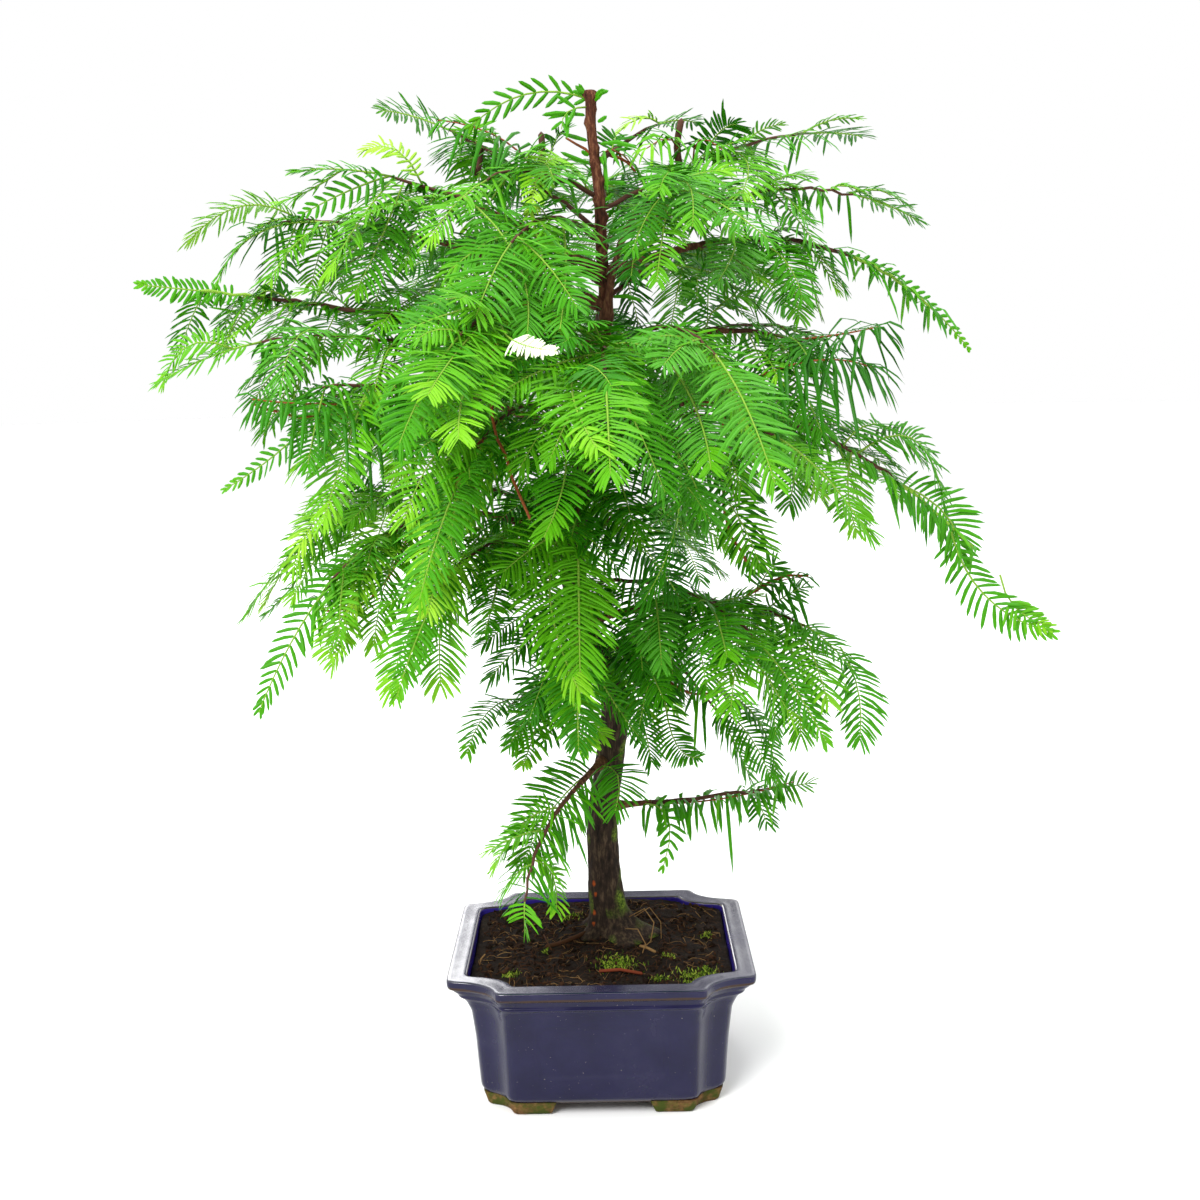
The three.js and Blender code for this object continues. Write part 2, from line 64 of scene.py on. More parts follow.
POT_RIM_HALF = (80, 70)
POT_FLAT_HALF = (53.5, 54)
FRONT_FLAT_TAPER = 0.3      # how much the front's stretch narrows with the inset in x
SIDE_FLAT_TAPER = 0.25
POT_HEIGHT = 71
FOOT_HEIGHT = 7
FOOT_GAP_HALF = 24
FOOT_SLANT = 3
FOOT_GROUND_INSET = (19, 10, 1)
FOOT_TOP_INSET = (17.2, 8.2, 0)
FOOT_INNER_INSET = (32, 24, 11)
RIM_WIDTH = 10.5
INNER_LEAN = (14, 4)
INNER_NOTCH = 0.45
FLOOR_TOP = 13
SOIL_EDGE = 65.2

# The pot's outer wall: height, and how far in from the rim in x and in y.
POT_WALL = np.array([
    (FOOT_HEIGHT, 16.5, 7.5), (10.6, 15.5, 6.2), (36, 13.7, 5), (52.5, 11.7, 4.2),
    (59, 8.5, 3), (62.5, 4.5, 1.6), (65.5, 0.8, 0.3), (67, 0, 0), (70.2, 0, 0),
])

# The trunk from the soil to its pruned tip: height, centre x and y, radius.
TRUNK = np.array([
    (72, 6, 12, 16), (76, 5.2, 11.6, 12.6), (84, 3.8, 11, 10.4), (102, 2.4, 10, 9.1),
    (135, 1.5, 9, 8.2), (169, 6.5, 8, 7.8), (203, 11.2, 6, 7.6), (224, 3.5, 5, 7.3),
    (248, -8, 4, 6.9), (277, -11.5, 3, 6.4), (307, -8, 2, 5.9), (337, -2.5, 1, 5.3),
    (367, 4, 0, 4.8), (402, 9, 0, 4.2), (442, 8, 0, 3.7), (470, 6, 0, 3.4),
    (497, 4, 0, 3.2), (516, 3, 0, 3.1),
])
ROOT_LOBES = 5
ROOT_LOBE_DEPTH = 0.16
ROOT_LOBE_FADE = 14

# Each limb: name, height on the trunk, where its furthest spray ends, how far its arch lifts it,
# the share of it that is a bare bough, the count of its pairs of side sprays, the length of its
# longest side spray, and where it bends if that isn't at BEND_PLACE.
LIMBS = [
    ("right_crest", 458, (150, 66, 500), 24, 0, 4, 54),
    ("right_upper", 442, (170, 14, 451), 40, 0, 5, 54),
    ("right_arch", 426, (202, 30, 385), 74, 0.4, 4, 34),
    ("right_mid", 387, (152, -40, 362), 44, 0.4, 5, 76),
    ("right_back", 374, (176, 98, 354), 74, 0, 4, 84),
    ("right_long", 354, (230, -35, 243), 92, 0.36, 5, 56, 0.5),
    ("right_front", 337, (128, -92, 302), 74, 0, 5, 84),
    ("right_low_front", 264, (110, -84, 202), 70, 0, 5, 72),
    ("right_low", 245, (148, -50, 216), 60, 0.3, 5, 68),
    ("right_under", 230, (80, -22, 166), 56, 0, 4, 42),
    ("right_lowest", 143, (112, -8, 159), -2, 0.2, 5, 22),
    ("left_crest", 446, (-108, 55, 517), 20, 0, 4, 70),
    ("left_inner", 464, (-72, -66, 440), 44, 0, 4, 56),
    ("left_high", 426, (-138, -34, 476), 28, 0.36, 4, 72),
    ("left_upper", 410, (-204, 28, 448), 44, 0.36, 5, 54),
    ("left_far", 390, (-222, -20, 425), 4, 0.44, 4, 46),
    ("left_mid", 358, (-200, -70, 378), 56, 0, 5, 76),
    ("left_drop", 342, (-166, -104, 360), 44, 0.4, 5, 80),
    ("left_back", 337, (-206, 74, 318), 90, 0, 4, 84),
    ("left_low", 302, (-187, 14, 252), 84, 0, 6, 84),
    ("left_hang", 286, (-166, -58, 216), 112, 0.34, 6, 58),
    ("left_front_low", 270, (-90, -110, 234), 90, 0, 5, 80),
    ("left_under", 217, (-72, -10, 176), 30, 0, 4, 44),
    ("left_lowest", 172, (-38, -56, 98), 60, 0.24, 2, 24, 1.08),
    ("front_top", 440, (-46, -132, 404), 54, 0, 4, 60),
    ("front_left", 395, (-74, -180, 354), 74, 0, 5, 84),
    ("front_left_low", 347, (-72, -156, 286), 90, 0, 5, 88),
    ("front_mid", 372, (9, -196, 342), 66, 0.36, 5, 80),
    ("front_right", 374, (76, -164, 334), 90, 0, 4, 88),
    ("front_right_low", 327, (52, -130, 314), 66, 0, 5, 72),
    ("front_low", 314, (-6, -118, 240), 84, 0, 5, 76),
    ("front_lower", 258, (-8, -94, 203), 60, 0, 5, 66),
    ("second_leader", 400, (82, -98, 434), 100, 0.4, 4, 80, 0.15),
    ("back_top", 454, (15, 128, 460), 45, 0, 4, 84),
    ("back_left_high", 420, (-108, 142, 426), 60, 0, 4, 84),
    ("back_right_high", 414, (118, 138, 412), 60, 0, 4, 84),
    ("back_mid", 374, (5, 200, 352), 100, 0, 4, 88),
    ("back_left", 347, (-128, 160, 314), 110, 0, 4, 88),
    ("back_right", 332, (132, 152, 312), 110, 0, 4, 88),
    ("back_low", 292, (-48, 142, 242), 100, 0, 4, 84),
    ("back_low_right", 277, (64, 122, 248), 80, 0, 4, 84),
    ("back_under", 224, (15, 84, 192), 40, 0, 3, 70),
    ("crest_right", 480, (58, 38, 505), 14, 0, 3, 56),
    ("crest_left", 508, (-50, -4, 500), 26, 0, 2, 18),
]
BEND_PLACE = 0.62
STEM_GAP = 0.3              # between a bough's tip and the stem that runs on from it

TERMINAL_SHARE = 0.8        # the spray that ends a limb, as a share of its longest side spray
TERMINAL_MOST = 0.45        # and at most this share of the limb
STEM_BARE = 0.12            # the share of a limb next to the trunk that has no sprays
SIDE_PLACE = (0.35, 0.65)   # where in its stretch of stem a pair of level sprays grows
SIDE_ANGLE = (0.8, 1.15)    # radians between a level spray and the stem
SIDE_RISE = (-0.35, 0.25)
SIDE_TRIM = (0.8, 1.05)
SIDE_TAPER = 0.3            # how much shorter side sprays get towards the tip
SIDE_SAG = (0.2, 0.5)
HANG_PLACE = (0.7, 0.9)     # the same for the pair of hanging sprays
HANG_FORWARD = 0.55
HANG_SPREAD = (0.35, 0.65)
HANG_DROP = (0.6, 0.9)
HANG_TRIM = (0.6, 0.9)
HANG_SAG = 0.2
SAG_SHORTENS = 0.3
SPRAY_HALF_WIDTH = (9, 0.24)  # at its widest: a part that is fixed, and a share of its length
SPRAY_ROOT = (0.66, 1.6)      # its width at its root, as a share of the widest, and how that grows
SPRAY_TIP = (1.5, 1.05)       # and how it narrows to its tip
SPRAY_TEST_STEPS = 8
SPRAY_TEST_ACROSS = (-1, -0.5, 0, 0.5, 1)
NEEDLE_REACH = (12, 0.1)      # the longest needles of a spray, likewise
TRIM_STEPS = (1, 0.8, 0.64, 0.5, 0.4)
MASS_MARGIN = 7
SPRAY_MARGIN = 4
LIMB_MARGIN = 2.2
LIMB_POINT_STEP = 5
FIRST_SEED = 101
LOWEST_SPRAY = 94


# ---------------------------------------------------------------- curves

UP = np.array((0.0, 0.0, 1.0))
CURVE_STEPS = 200


def unit(vectors):
    """Vectors, or one, at a length of 1."""
    return vectors / np.linalg.norm(vectors, axis=-1, keepdims=True)


def on_curve(curve, share):
    """The points of a quadratic curve at some shares of the way along it."""
    t = np.asarray(share, float)[..., None]
    return (1 - t) ** 2 * curve[0] + 2 * t * (1 - t) * curve[1] + t * t * curve[2]


def course_of(curve, share):
    """The direction of a quadratic curve at some shares of the way along it."""
    t = np.asarray(share, float)[..., None]
    return unit((1 - t) * (curve[1] - curve[0]) + t * (curve[2] - curve[1]))


def beside_of(course):
    """The direction to the right of a course, level with the ground."""
    return unit(np.cross(course, UP))


def curve_length(curve):
    points = on_curve(curve, np.linspace(0, 1, CURVE_STEPS + 1))
    return float(np.linalg.norm(np.diff(points, axis=0), axis=1).sum())


def part_of_curve(curve, start, end):
    """The stretch of a quadratic curve between two shares of it, as a curve of its own."""
    near, far = on_curve(curve, start), on_curve(curve, end)
    towards = curve[0] + (curve[1] - curve[0]) * start
    beyond = curve[1] + (curve[2] - curve[1]) * start
    bend = towards + (beyond - towards) * end
    return np.array((near, bend, far))


def trunk_at(height):
    """The trunk's centre and radius at some heights."""
    row = np.clip(np.searchsorted(TRUNK[:, 0], height), 1, len(TRUNK) - 1)
    low, high = TRUNK[row - 1], TRUNK[row]
    share = ((np.asarray(height) - low[..., 0]) / (high[..., 0] - low[..., 0]))[..., None]
    x_y_radius = low[..., 1:] + (high[..., 1:] - low[..., 1:]) * share
    return x_y_radius[..., :2], x_y_radius[..., 2]


# ---------------------------------------------------------------- the view from the front

VIEW_TARGET = np.array((3.1, 0, 258.9))
VIEW_DISTANCE = 769
VIEW_PITCH, VIEW_YAW, VIEW_ROLL = np.radians((9.78, -0.27, -1.16))
VIEW_SIDE = 1200            # the view's width and height, in the parts that places in it are given in
SENSOR_WIDTH, LENS = 36, 43.8
VIEW_FOCUS = LENS / SENSOR_WIDTH * VIEW_SIDE


def view_axes():
    """The directions ahead, to the right and up, as the camera has them."""
    ahead = np.array((math.sin(VIEW_YAW) * math.cos(VIEW_PITCH),
                      math.cos(VIEW_YAW) * math.cos(VIEW_PITCH), -math.sin(VIEW_PITCH)))
    right = np.array((math.cos(VIEW_YAW), -math.sin(VIEW_YAW), 0))
    up = np.cross(right, ahead)
    return (ahead, right * math.cos(VIEW_ROLL) + up * math.sin(VIEW_ROLL),
            up * math.cos(VIEW_ROLL) - right * math.sin(VIEW_ROLL))


VIEW_AXES = view_axes()
VIEW_PLACE = VIEW_TARGET - VIEW_AXES[0] * VIEW_DISTANCE

# Openings in the crown where the sky shows: the middle and half the size of each, in mm to the
# right and up from the middle of the view.
OPENINGS = np.array((
    (-42, 252, 14, 5), (-80, 223, 14, 11), (-190, 176, 18, 11), (-203, 194, 11, 6),
    (-199, 100, 13, 14), (-176, 80, 12, 15), (-131, 109, 11, 11), (-149, 62, 12, 12),
    (-167, -29, 14, 15), (-104, -48, 13, 9), (-72, -9, 9, 15), (-54, -32, 9, 11),
    (-66, -72, 12, 14), (-23, -129, 13, 13), (16, 0, 11, 11), (52, 20, 7, 18),
    (54, -54, 13, 12), (41, -117, 7, 6), (117, -67, 18, 9), (149, -50, 11, 14),
    (126, -23, 7, 6), (174, 34, 20, 20), (104, 54, 7, 7), (203, 42, 16, 16),
    (72, 138, 16, 15), (58, 100, 11, 12), (50, 158, 7, 9), (135, 125, 15, 13),
    (152, 104, 12, 14), (131, 199, 23, 16), (101, 235, 12, 11), (67, 203, 7, 6),
    (32, 237, 18, 9), (161, 163, 14, 8), (-158, -14, 12, 14), (151, 166, 12, 9),
    (64, 105, 9, 8),
))


def seen_at(points):
    """Where points show in the view: mm to the right and up from its middle, at VIEW_DISTANCE."""
    away = points - VIEW_PLACE
    depth = away @ VIEW_AXES[0]
    seen = np.stack((away @ VIEW_AXES[1], away @ VIEW_AXES[2]), axis=1)
    return seen * (VIEW_DISTANCE / depth)[:, None]


def in_opening(points):
    """Which points lie behind or in front of an opening."""
    off = (seen_at(points)[:, None] - OPENINGS[None, :, :2]) / OPENINGS[None, :, 2:]
    return ((off ** 2).sum(axis=2) < 1).any(axis=1)


def from_middle(place):
    """A place in the view, as shares of its focal length to the right and up from its middle."""
    right, down = place
    return (right - VIEW_SIDE / 2) / VIEW_FOCUS, (VIEW_SIDE / 2 - down) / VIEW_FOCUS


def point_seen_at(place, y):
    """The point that shows at a place in the view and lies at a given y."""
    right, up = from_middle(place)
    ray = VIEW_AXES[0] + VIEW_AXES[1] * right + VIEW_AXES[2] * up
    return VIEW_PLACE + ray * (y - VIEW_PLACE[1]) / ray[1]


def share_seen_at(curve, place):
    """The share of a curve, in whole hundredths, that shows nearest to a place in the view."""
    shares = np.linspace(0, 1, CURVE_STEPS + 1)
    off = seen_at(on_curve(curve, shares)) - np.array(from_middle(place)) * VIEW_DISTANCE
    return round(shares[np.linalg.norm(off, axis=1).argmin()], 2)


# ---------------------------------------------------------------- growth

@dataclass
class Spray:
    """A midrib with needles on both sides, or a bare twig or peg. Its place is 0 at a limb's end, 1
    for the rest of the first growth, 2 for the finer growth and 3 for the chosen ones."""
    curve: np.ndarray
    length: float
    place: int = 1
    needle: float = 0
    tint: str = ""
    bare: float = 0.1
    kind: str = "full"


@dataclass
class Limb:
    name: str
    curve: np.ndarray
    whole: float
    bare: float
    pairs: int
    longest: float
    last: float
    sprays: list = field(default_factory=list)
    tries: list = field(default_factory=list)


WORD = 0xFFFFFFFF


def dice(seed):
    """Even random numbers from 0 to 1, the same for the same seed."""
    state = seed

    def roll():
        nonlocal state
        state = (state + 0x6D2B79F5) & WORD
        mixed = (state ^ (state >> 15)) * (state | 1) & WORD
        mixed ^= mixed + ((mixed ^ (mixed >> 7)) * (mixed | 61) & WORD) & WORD
        return (mixed ^ (mixed >> 14)) / 2 ** 32

    return roll


def spray_half_width(length, share, law=SPRAY_HALF_WIDTH):
    fixed, growing = law
    from_root = np.minimum(1, SPRAY_ROOT[0] + SPRAY_ROOT[1] * share)
    return (fixed + growing * length) * np.minimum(from_root, SPRAY_TIP[0] - SPRAY_TIP[1] * share)


def spray_from(origin, course, length, sag, place=1):
    """A spray that leaves a point on a course and sags under its own weight."""
    end = origin + course * length * (1 - SAG_SHORTENS * sag) - UP * length * sag
    return Spray(np.array((origin, origin + course * length / 2, end)), length, place)


def side_tries(limb, roll):
    """The tries for side sprays along one limb's stem: pairs of level ones and hanging ones."""
    def within(span):
        return span[0] + (span[1] - span[0]) * roll()

    start = max(limb.bare, STEM_BARE)
    reach = limb.last - start
    tries = []
    for pair in range(limb.pairs):
        for side in (1, -1):
            share = (pair + within(SIDE_PLACE)) / limb.pairs
            t = start + reach * share
            angle = within(SIDE_ANGLE)
            course = course_of(limb.curve, t)
            level = course * math.cos(angle) + beside_of(course) * side * math.sin(angle)
            level = unit(level + UP * within(SIDE_RISE))
            length = limb.longest * (1 - SIDE_TAPER * share) * within(SIDE_TRIM)
            tries.append((t, level, length, within(SIDE_SAG)))
        t = start + reach * (pair + within(HANG_PLACE)) / limb.pairs
        for side in (1, -1):
            course = course_of(limb.curve, t)
            hang = course * HANG_FORWARD + beside_of(course) * side * within(HANG_SPREAD)
            hang = unit(hang - UP * within(HANG_DROP))
            tries.append((t, hang, limb.longest * within(HANG_TRIM), HANG_SAG))
    return tries


def test_points(spray, law=SPRAY_HALF_WIDTH):
    """Points spread over a spray's outline, to test where it would go."""
    share = np.arange(2, SPRAY_TEST_STEPS + 1) / SPRAY_TEST_STEPS
    beside = beside_of(course_of(spray.curve, share))
    reach = np.array(SPRAY_TEST_ACROSS)[None, :, None]
    width = spray_half_width(spray.length, share, law)[:, None, None]
    return (on_curve(spray.curve, share)[:, None] + beside[:, None] * width * reach).reshape(-1, 3)


class TakenSpace:
    """The space that is taken: points with their owners, under the cube of space they lie in."""

    def __init__(self, side):
        self.side = side
        self.cubes = {}

    def cube_of(self, x, y, z):
        return math.floor(x / self.side), math.floor(y / self.side), math.floor(z / self.side)

    def take(self, points, owner):
        for x, y, z in points.tolist():
            self.cubes.setdefault(self.cube_of(x, y, z), []).append((x, y, z, owner))

    def is_free(self, points, owner, own_margin, other_margin):
        for x, y, z in points.tolist():
            i, j, k = self.cube_of(x, y, z)
            for cube in product((i - 1, i, i + 1), (j - 1, j, j + 1), (k - 1, k, k + 1)):
                for near_x, near_y, near_z, near_owner in self.cubes.get(cube, ()):
                    margin = own_margin if near_owner == owner else other_margin
                    if math.hypot(near_x - x, near_y - y, near_z - z) < margin:
                        return False
        return True


def is_off_trunk(points):
    centre, radius = trunk_at(points[:, 2])
    away = np.linalg.norm(points[:, :2] - centre, axis=1)
    return bool((away > radius + LIMB_MARGIN).all() and (points[:, 2] > LOWEST_SPRAY).all())


def plan_limb(name, height, tip, lift, bare, pairs, longest, place=BEND_PLACE):
    start = np.array((*trunk_at(height)[0], height))
    end = np.array(tip, float)
    curve = np.array((start, start + (end - start) * place + UP * lift, end))
    whole = curve_length(curve)
    last = 1 - min(TERMINAL_SHARE * longest / whole, TERMINAL_MOST)
    limb = Limb(name, curve, whole, bare, pairs, longest, last)
    rest = np.array((on_curve(curve, last), curve[1] + (curve[2] - curve[1]) * last, end))
    limb.sprays.append(Spray(rest, curve_length(rest), 0))
    return limb


def first_growth(limbs):
    """The sprays that the CAD masses have too. The limbs take turns, so that each gets its share."""
    space = TakenSpace(MASS_MARGIN)
    for owner, limb in enumerate(limbs):
        limb.tries = side_tries(limb, dice(FIRST_SEED + owner))
        steps = math.ceil(limb.whole / LIMB_POINT_STEP)
        space.take(on_curve(limb.curve, np.linspace(0, 1, steps + 1)), owner)
        space.take(test_points(limb.sprays[0]), owner)
    for turn in range(max(len(limb.tries) for limb in limbs)):
        for owner, limb in enumerate(limbs):
            if turn >= len(limb.tries):
                continue
            t, course, length, sag = limb.tries[turn]
            for trim in TRIM_STEPS:
                spray = spray_from(on_curve(limb.curve, t), course, length * trim, sag)
                points = test_points(spray)
                if is_off_trunk(points) and space.is_free(points, owner, SPRAY_MARGIN, MASS_MARGIN):
                    limb.sprays.append(spray)
                    space.take(points, owner)
                    break


# Sprays chosen one by one, under the limb that carries them. Each has three places in the view, in
# parts right and down from its upper left corner: where it leaves its limb, its middle and its tip.
# A number in place of the first is a height on the trunk. Then come the tip's y, the kind and, where
# it has needles, the longest of them, their tint, and the share at its root that has none.
CHOSEN = {
    "right_crest": (
        ((730, 152), (748, 165), (740, 196), -20, "full", 19, "fresh"),
        ((690, 163), (690, 180), (698, 224), -10, "full", 16, "leaf"),
        ((690, 172), (715, 150), (748, 138), 10, "full", 11, "leaf"),
        ((740, 146), (758, 132), (780, 124), 30, "full", 10, "fresh"),
        ((800, 134), (830, 120), (858, 118), 50, "full", 10, "fresh"),
        ((680, 168), (672, 140), (645, 150), 0, "hanging", 18, "fresh", 0.45),
        ((690, 163), (700, 140), (722, 150), 0, "hanging", 18, "leaf", 0.3),
        ((680, 168), (677, 148), (681, 122), 12, "peg"),
    ),
    "right_upper": (
        ((830, 195), (850, 186), (882, 205), 10, "full", 12, "fresh"),
        ((850, 190), (880, 190), (908, 205), 10, "full", 12, "leaf"),
    ),
    "right_arch": (
        ((720, 242), (735, 245), (718, 282), -45, "full", 17, "bluish"),
        ((740, 241), (780, 255), (803, 300), -25, "full", 16, "leaf"),
        ((775, 239), (800, 255), (818, 312), 10, "full", 15, "fresh"),
        ((622, 268), (630, 290), (640, 332), 10, "full", 14, "deep"),
        ((800, 243), (825, 262), (845, 290), 10, "full", 14, "leaf"),
        ((775, 239), (790, 275), (800, 318), -20, "full", 15, "leaf"),
    ),
    "right_mid": (
        ((700, 318), (722, 305), (752, 322), -30, "full", 13, "shade"),
        ((795, 339), (840, 334), (880, 327), -60, "hanging", 36, "deep"),
    ),
    "right_long": (
        ((790, 422), (735, 425), (741, 490), -75, "full", 22, "bluish"),
        ((860, 453), (915, 440), (944, 512), -20, "full", 17, "leaf"),
        ((850, 449), (848, 490), (856, 532), -50, "full", 14, "fresh"),
        ((788, 421), (795, 455), (790, 505), -45, "full", 17, "leaf"),
        ((840, 445), (880, 425), (922, 462), 5, "full", 16, "leaf"),
        ((800, 425), (850, 430), (900, 470), 15, "full", 15, "shade"),
        ((950, 520), (984, 594), (1050, 632), -35, "sparse", 13, "leaf"),
        ((905, 487), (945, 514), (962, 556), -28, "facing", 17, "leaf", 0),
        ((1000, 575), (1015, 608), (1048, 626), -35, "facing", 10, "fresh", 0.4),
    ),
    "right_front": (
        ((725, 418), (735, 500), (754, 566), -70, "sparse", 18, "shade", 0.3),
        ((690, 414), (790, 365), (872, 368), -60, "hanging", 34, "deep", 0.35),
        ((725, 418), (722, 500), (748, 562), -70, "twig"),
    ),
    "right_low": (
        ((620, 612), (640, 650), (664, 698), -70, "full", 18, "leaf"),
        ((735, 602), (745, 630), (728, 676), -75, "full", 18, "fresh"),
        ((781, 615), (795, 670), (801, 737), -60, "full", 18, "leaf"),
        ((840, 646), (858, 690), (860, 740), -60, "full", 16, "leaf"),
        ((800, 625), (815, 660), (828, 702), -75, "full", 17, "fresh"),
        ((719, 601), (742, 605), (752, 645), -40, "full", 16, "leaf"),
        ((800, 630), (825, 640), (852, 670), -50, "full", 14, "leaf"),
        ((745, 610), (765, 650), (775, 735), -30, "full", 16, "leaf"),
        ((690, 612), (660, 650), (640, 725), -40, "full", 15, "shade"),
        ((740, 602), (768, 585), (806, 577), -22, "hanging", 22, "shade", 0.45),
        ((740, 602), (770, 582), (808, 576), -20, "twig"),
    ),
    "right_under": (
        ((700, 690), (755, 715), (778, 785), -30, "full", 12, "leaf"),
        ((660, 660), (672, 735), (699, 758), -45, "full", 11, "leaf"),
        ((600, 650), (632, 690), (652, 762), -30, "full", 15, "shade", 0.2),
        ((722, 702), (745, 730), (770, 778), -35, "full", 13, "leaf"),
        ((640, 650), (680, 688), (722, 693), -10, "twig"),
    ),
    "right_lowest": (
        ((640, 790), (668, 818), (664, 866), -20, "sparse", 9, "leaf", 0.2),
        ((640, 790), (715, 800), (793, 781), -8, "hanging", 15, "leaf", 0.02),
    ),
    "left_crest": (
        ((542, 187), (505, 141), (438, 119), 18, "hanging", 26, "shade", 0.3),
        ((542, 187), (542, 160), (542, 134), 13, "peg"),
        ((480, 146), (478, 170), (472, 168), 20, "peg"),
    ),
    "left_inner": (
        ((470, 205), (516, 258), (528, 335), -128, "full", 20, "leaf", 0.05),
        ((590, 194), (552, 160), (530, 213), -70, "full", 12, "lime"),
    ),
    "left_high": (
        ((428, 170), (396, 150), (364, 152), -24, "full", 11, "pale"),
        ((398, 200), (378, 245), (354, 292), -50, "full", 17, "leaf"),
        ((440, 190), (420, 220), (405, 264), -40, "full", 15, "leaf"),
        ((340, 182), (310, 190), (276, 203), -30, "full", 13, "fresh"),
        ((389, 181), (350, 190), (304, 212), -40, "sparse", 9, "leaf"),
    ),
    "left_upper": (
        ((301, 214), (246, 205), (191, 239), 20, "full", 17, "lime", 0.05),
        ((330, 222), (255, 235), (216, 290), -5, "full", 13, "leaf"),
        ((350, 225), (300, 240), (262, 300), -15, "full", 17, "fresh"),
        ((400, 232), (350, 240), (320, 292), 0, "full", 18, "fresh"),
        ((420, 234), (370, 250), (330, 282), -10, "full", 16, "leaf"),
        ((300, 214), (270, 222), (235, 252), 10, "full", 12, "fresh"),
    ),
    "left_far": (
        ((405, 304), (385, 310), (368, 350), -45, "full", 17, "leaf"),
        ((300, 302), (270, 310), (235, 335), -20, "full", 14, "fresh"),
        ((352, 308), (325, 292), (300, 292), -20, "full", 14, "fresh"),
        ((443, 322), (415, 290), (395, 300), -40, "full", 15, "leaf"),
    ),
    "left_mid": (
        ((230, 345), (190, 345), (164, 382), -60, "full", 12, "fresh"),
        ((335, 325), (300, 335), (281, 385), -75, "full", 20, "bluish"),
        ((400, 342), (385, 355), (372, 400), -70, "full", 18, "fresh"),
        ((300, 345), (275, 355), (245, 386), -30, "full", 14, "leaf"),
    ),
    "left_drop": (
        ((430, 380), (415, 420), (400, 475), -80, "full", 18, "fresh"),
        ((453, 372), (350, 404), (253, 399), -95, "hanging", 30, "shade"),
    ),
    "left_back": (
        ((334, 421), (285, 446), (226, 488), 60, "sparse", 9, "leaf"),
        ((418, 398), (340, 418), (252, 404), -64, "twig"),
    ),
    "left_low": (
        ((350, 515), (315, 560), (292, 600), -10, "full", 15, "fresh"),
        ((372, 495), (335, 500), (300, 545), -30, "full", 18, "lime"),
        ((320, 528), (290, 560), (264, 606), -5, "full", 14, "lime"),
        ((330, 545), (300, 575), (266, 614), 10, "full", 13, "leaf"),
        ((420, 487), (380, 590), (315, 607), 5, "twig"),
    ),
    "left_hang": (
        ((400, 530), (372, 560), (352, 612), -60, "full", 15, "lime"),
        ((372, 575), (350, 610), (332, 666), -50, "full", 14, "fresh"),
        ((420, 520), (390, 570), (374, 645), -50, "full", 17, "fresh"),
    ),
    "left_front_low": (
        ((459, 564), (415, 620), (391, 691), -100, "full", 16, "fresh"),
        ((445, 580), (440, 630), (441, 686), -90, "full", 17, "fresh"),
        ((475, 550), (445, 570), (428, 612), -100, "full", 17, "lime"),
        ((520, 543), (500, 580), (492, 612), -95, "full", 17, "leaf"),
        ((505, 560), (496, 590), (484, 632), -95, "full", 15, "leaf"),
    ),
    "left_under": (
        ((520, 700), (488, 712), (466, 753), -40, "full", 12, "leaf"),
        ((545, 690), (535, 730), (522, 765), -40, "full", 12, "fresh"),
        ((570, 690), (540, 700), (510, 745), -40, "full", 14, "leaf"),
    ),
    "left_lowest": (
        ((600, 768), (618, 775), (616, 812), -25, "full", 17, "leaf"),
        ((548, 830), (520, 835), (486, 852), -50, "full", 13, "fresh"),
        ((530, 858), (553, 875), (556, 912), -50, "full", 13, "fresh"),
        ((566, 812), (525, 822), (494, 868), -30, "full", 15, "fresh"),
        ((600, 768), (556, 805), (524, 862), -36, "facing", 23, "leaf", 0.08),
    ),
    "front_top": (
        ((565, 205), (566, 270), (560, 330), -125, "full", 18, "leaf"),
    ),
    "front_left": (
        ((500, 290), (462, 345), (428, 395), -178, "full", 21, "fresh"),
        ((507, 285), (472, 365), (458, 437), -185, "full", 22, "fresh", 0.15),
        # a painted highlight: a short spray of near-white needles
        ((505, 303), (507, 336), (556, 350), -168, "bleached", 8, "bleached", 0.6),
        ((530, 285), (490, 380), (528, 520), -120, "twig"),
    ),
    "front_left_low": (
        ((482, 440), (440, 450), (405, 520), -130, "full", 20, "fresh"),
        ((500, 420), (465, 470), (452, 545), -140, "full", 20, "leaf"),
        ((530, 405), (566, 450), (544, 538), -150, "full", 19, "leaf", 0.2),
        ((480, 440), (462, 470), (452, 492), -115, "twig"),
    ),
    "front_mid": (
        ((600, 305), (572, 380), (597, 449), -188, "full", 20, "fresh", 0.2),
        ((606, 320), (628, 370), (649, 418), -90, "twig"),
    ),
    "front_right": (
        ((650, 345), (690, 395), (712, 470), -150, "full", 20, "bluish"),
    ),
    "front_right_low": (
        ((625, 450), (655, 452), (705, 510), -135, "full", 20, "leaf"),
        ((660, 465), (675, 530), (645, 600), -90, "full", 16, "shade"),
        ((620, 450), (620, 480), (634, 525), -80, "full", 18, "shade"),
    ),
    "front_low": (
        ((579, 501), (550, 585), (580, 692), -122, "full", 20, "fresh"),
    ),
    "front_lower": (
        ((560, 630), (570, 690), (603, 736), -70, "full", 15, "fresh"),
        ((568, 620), (600, 680), (640, 738), -55, "full", 16, "leaf", 0.15),
        ((565, 615), (572, 690), (588, 748), -90, "full", 16, "fresh"),
    ),
    "second_leader": (
        ((652, 196), (686, 182), (692, 226), -90, "full", 18, "bluish", 0.12),
    ),
    "crest_right": (
        ((660, 123), (640, 118), (618, 134), 20, "full", 12, "pale"),
        ((598, 163), (612, 150), (636, 170), 4, "hanging", 16, "leaf"),
        ((596, 165), (585, 150), (566, 140), 2, "twig"),
        ((606, 152), (620, 158), (634, 171), 8, "twig"),
    ),
    "crest_left": (
        (511.5, (526, 94), (468, 129), -6, "shoot", 10, "leaf", 0.03),
        (508, (568, 112), (562, 128), -12, "shoot", 11, "leaf", 0.3),
    ),
}

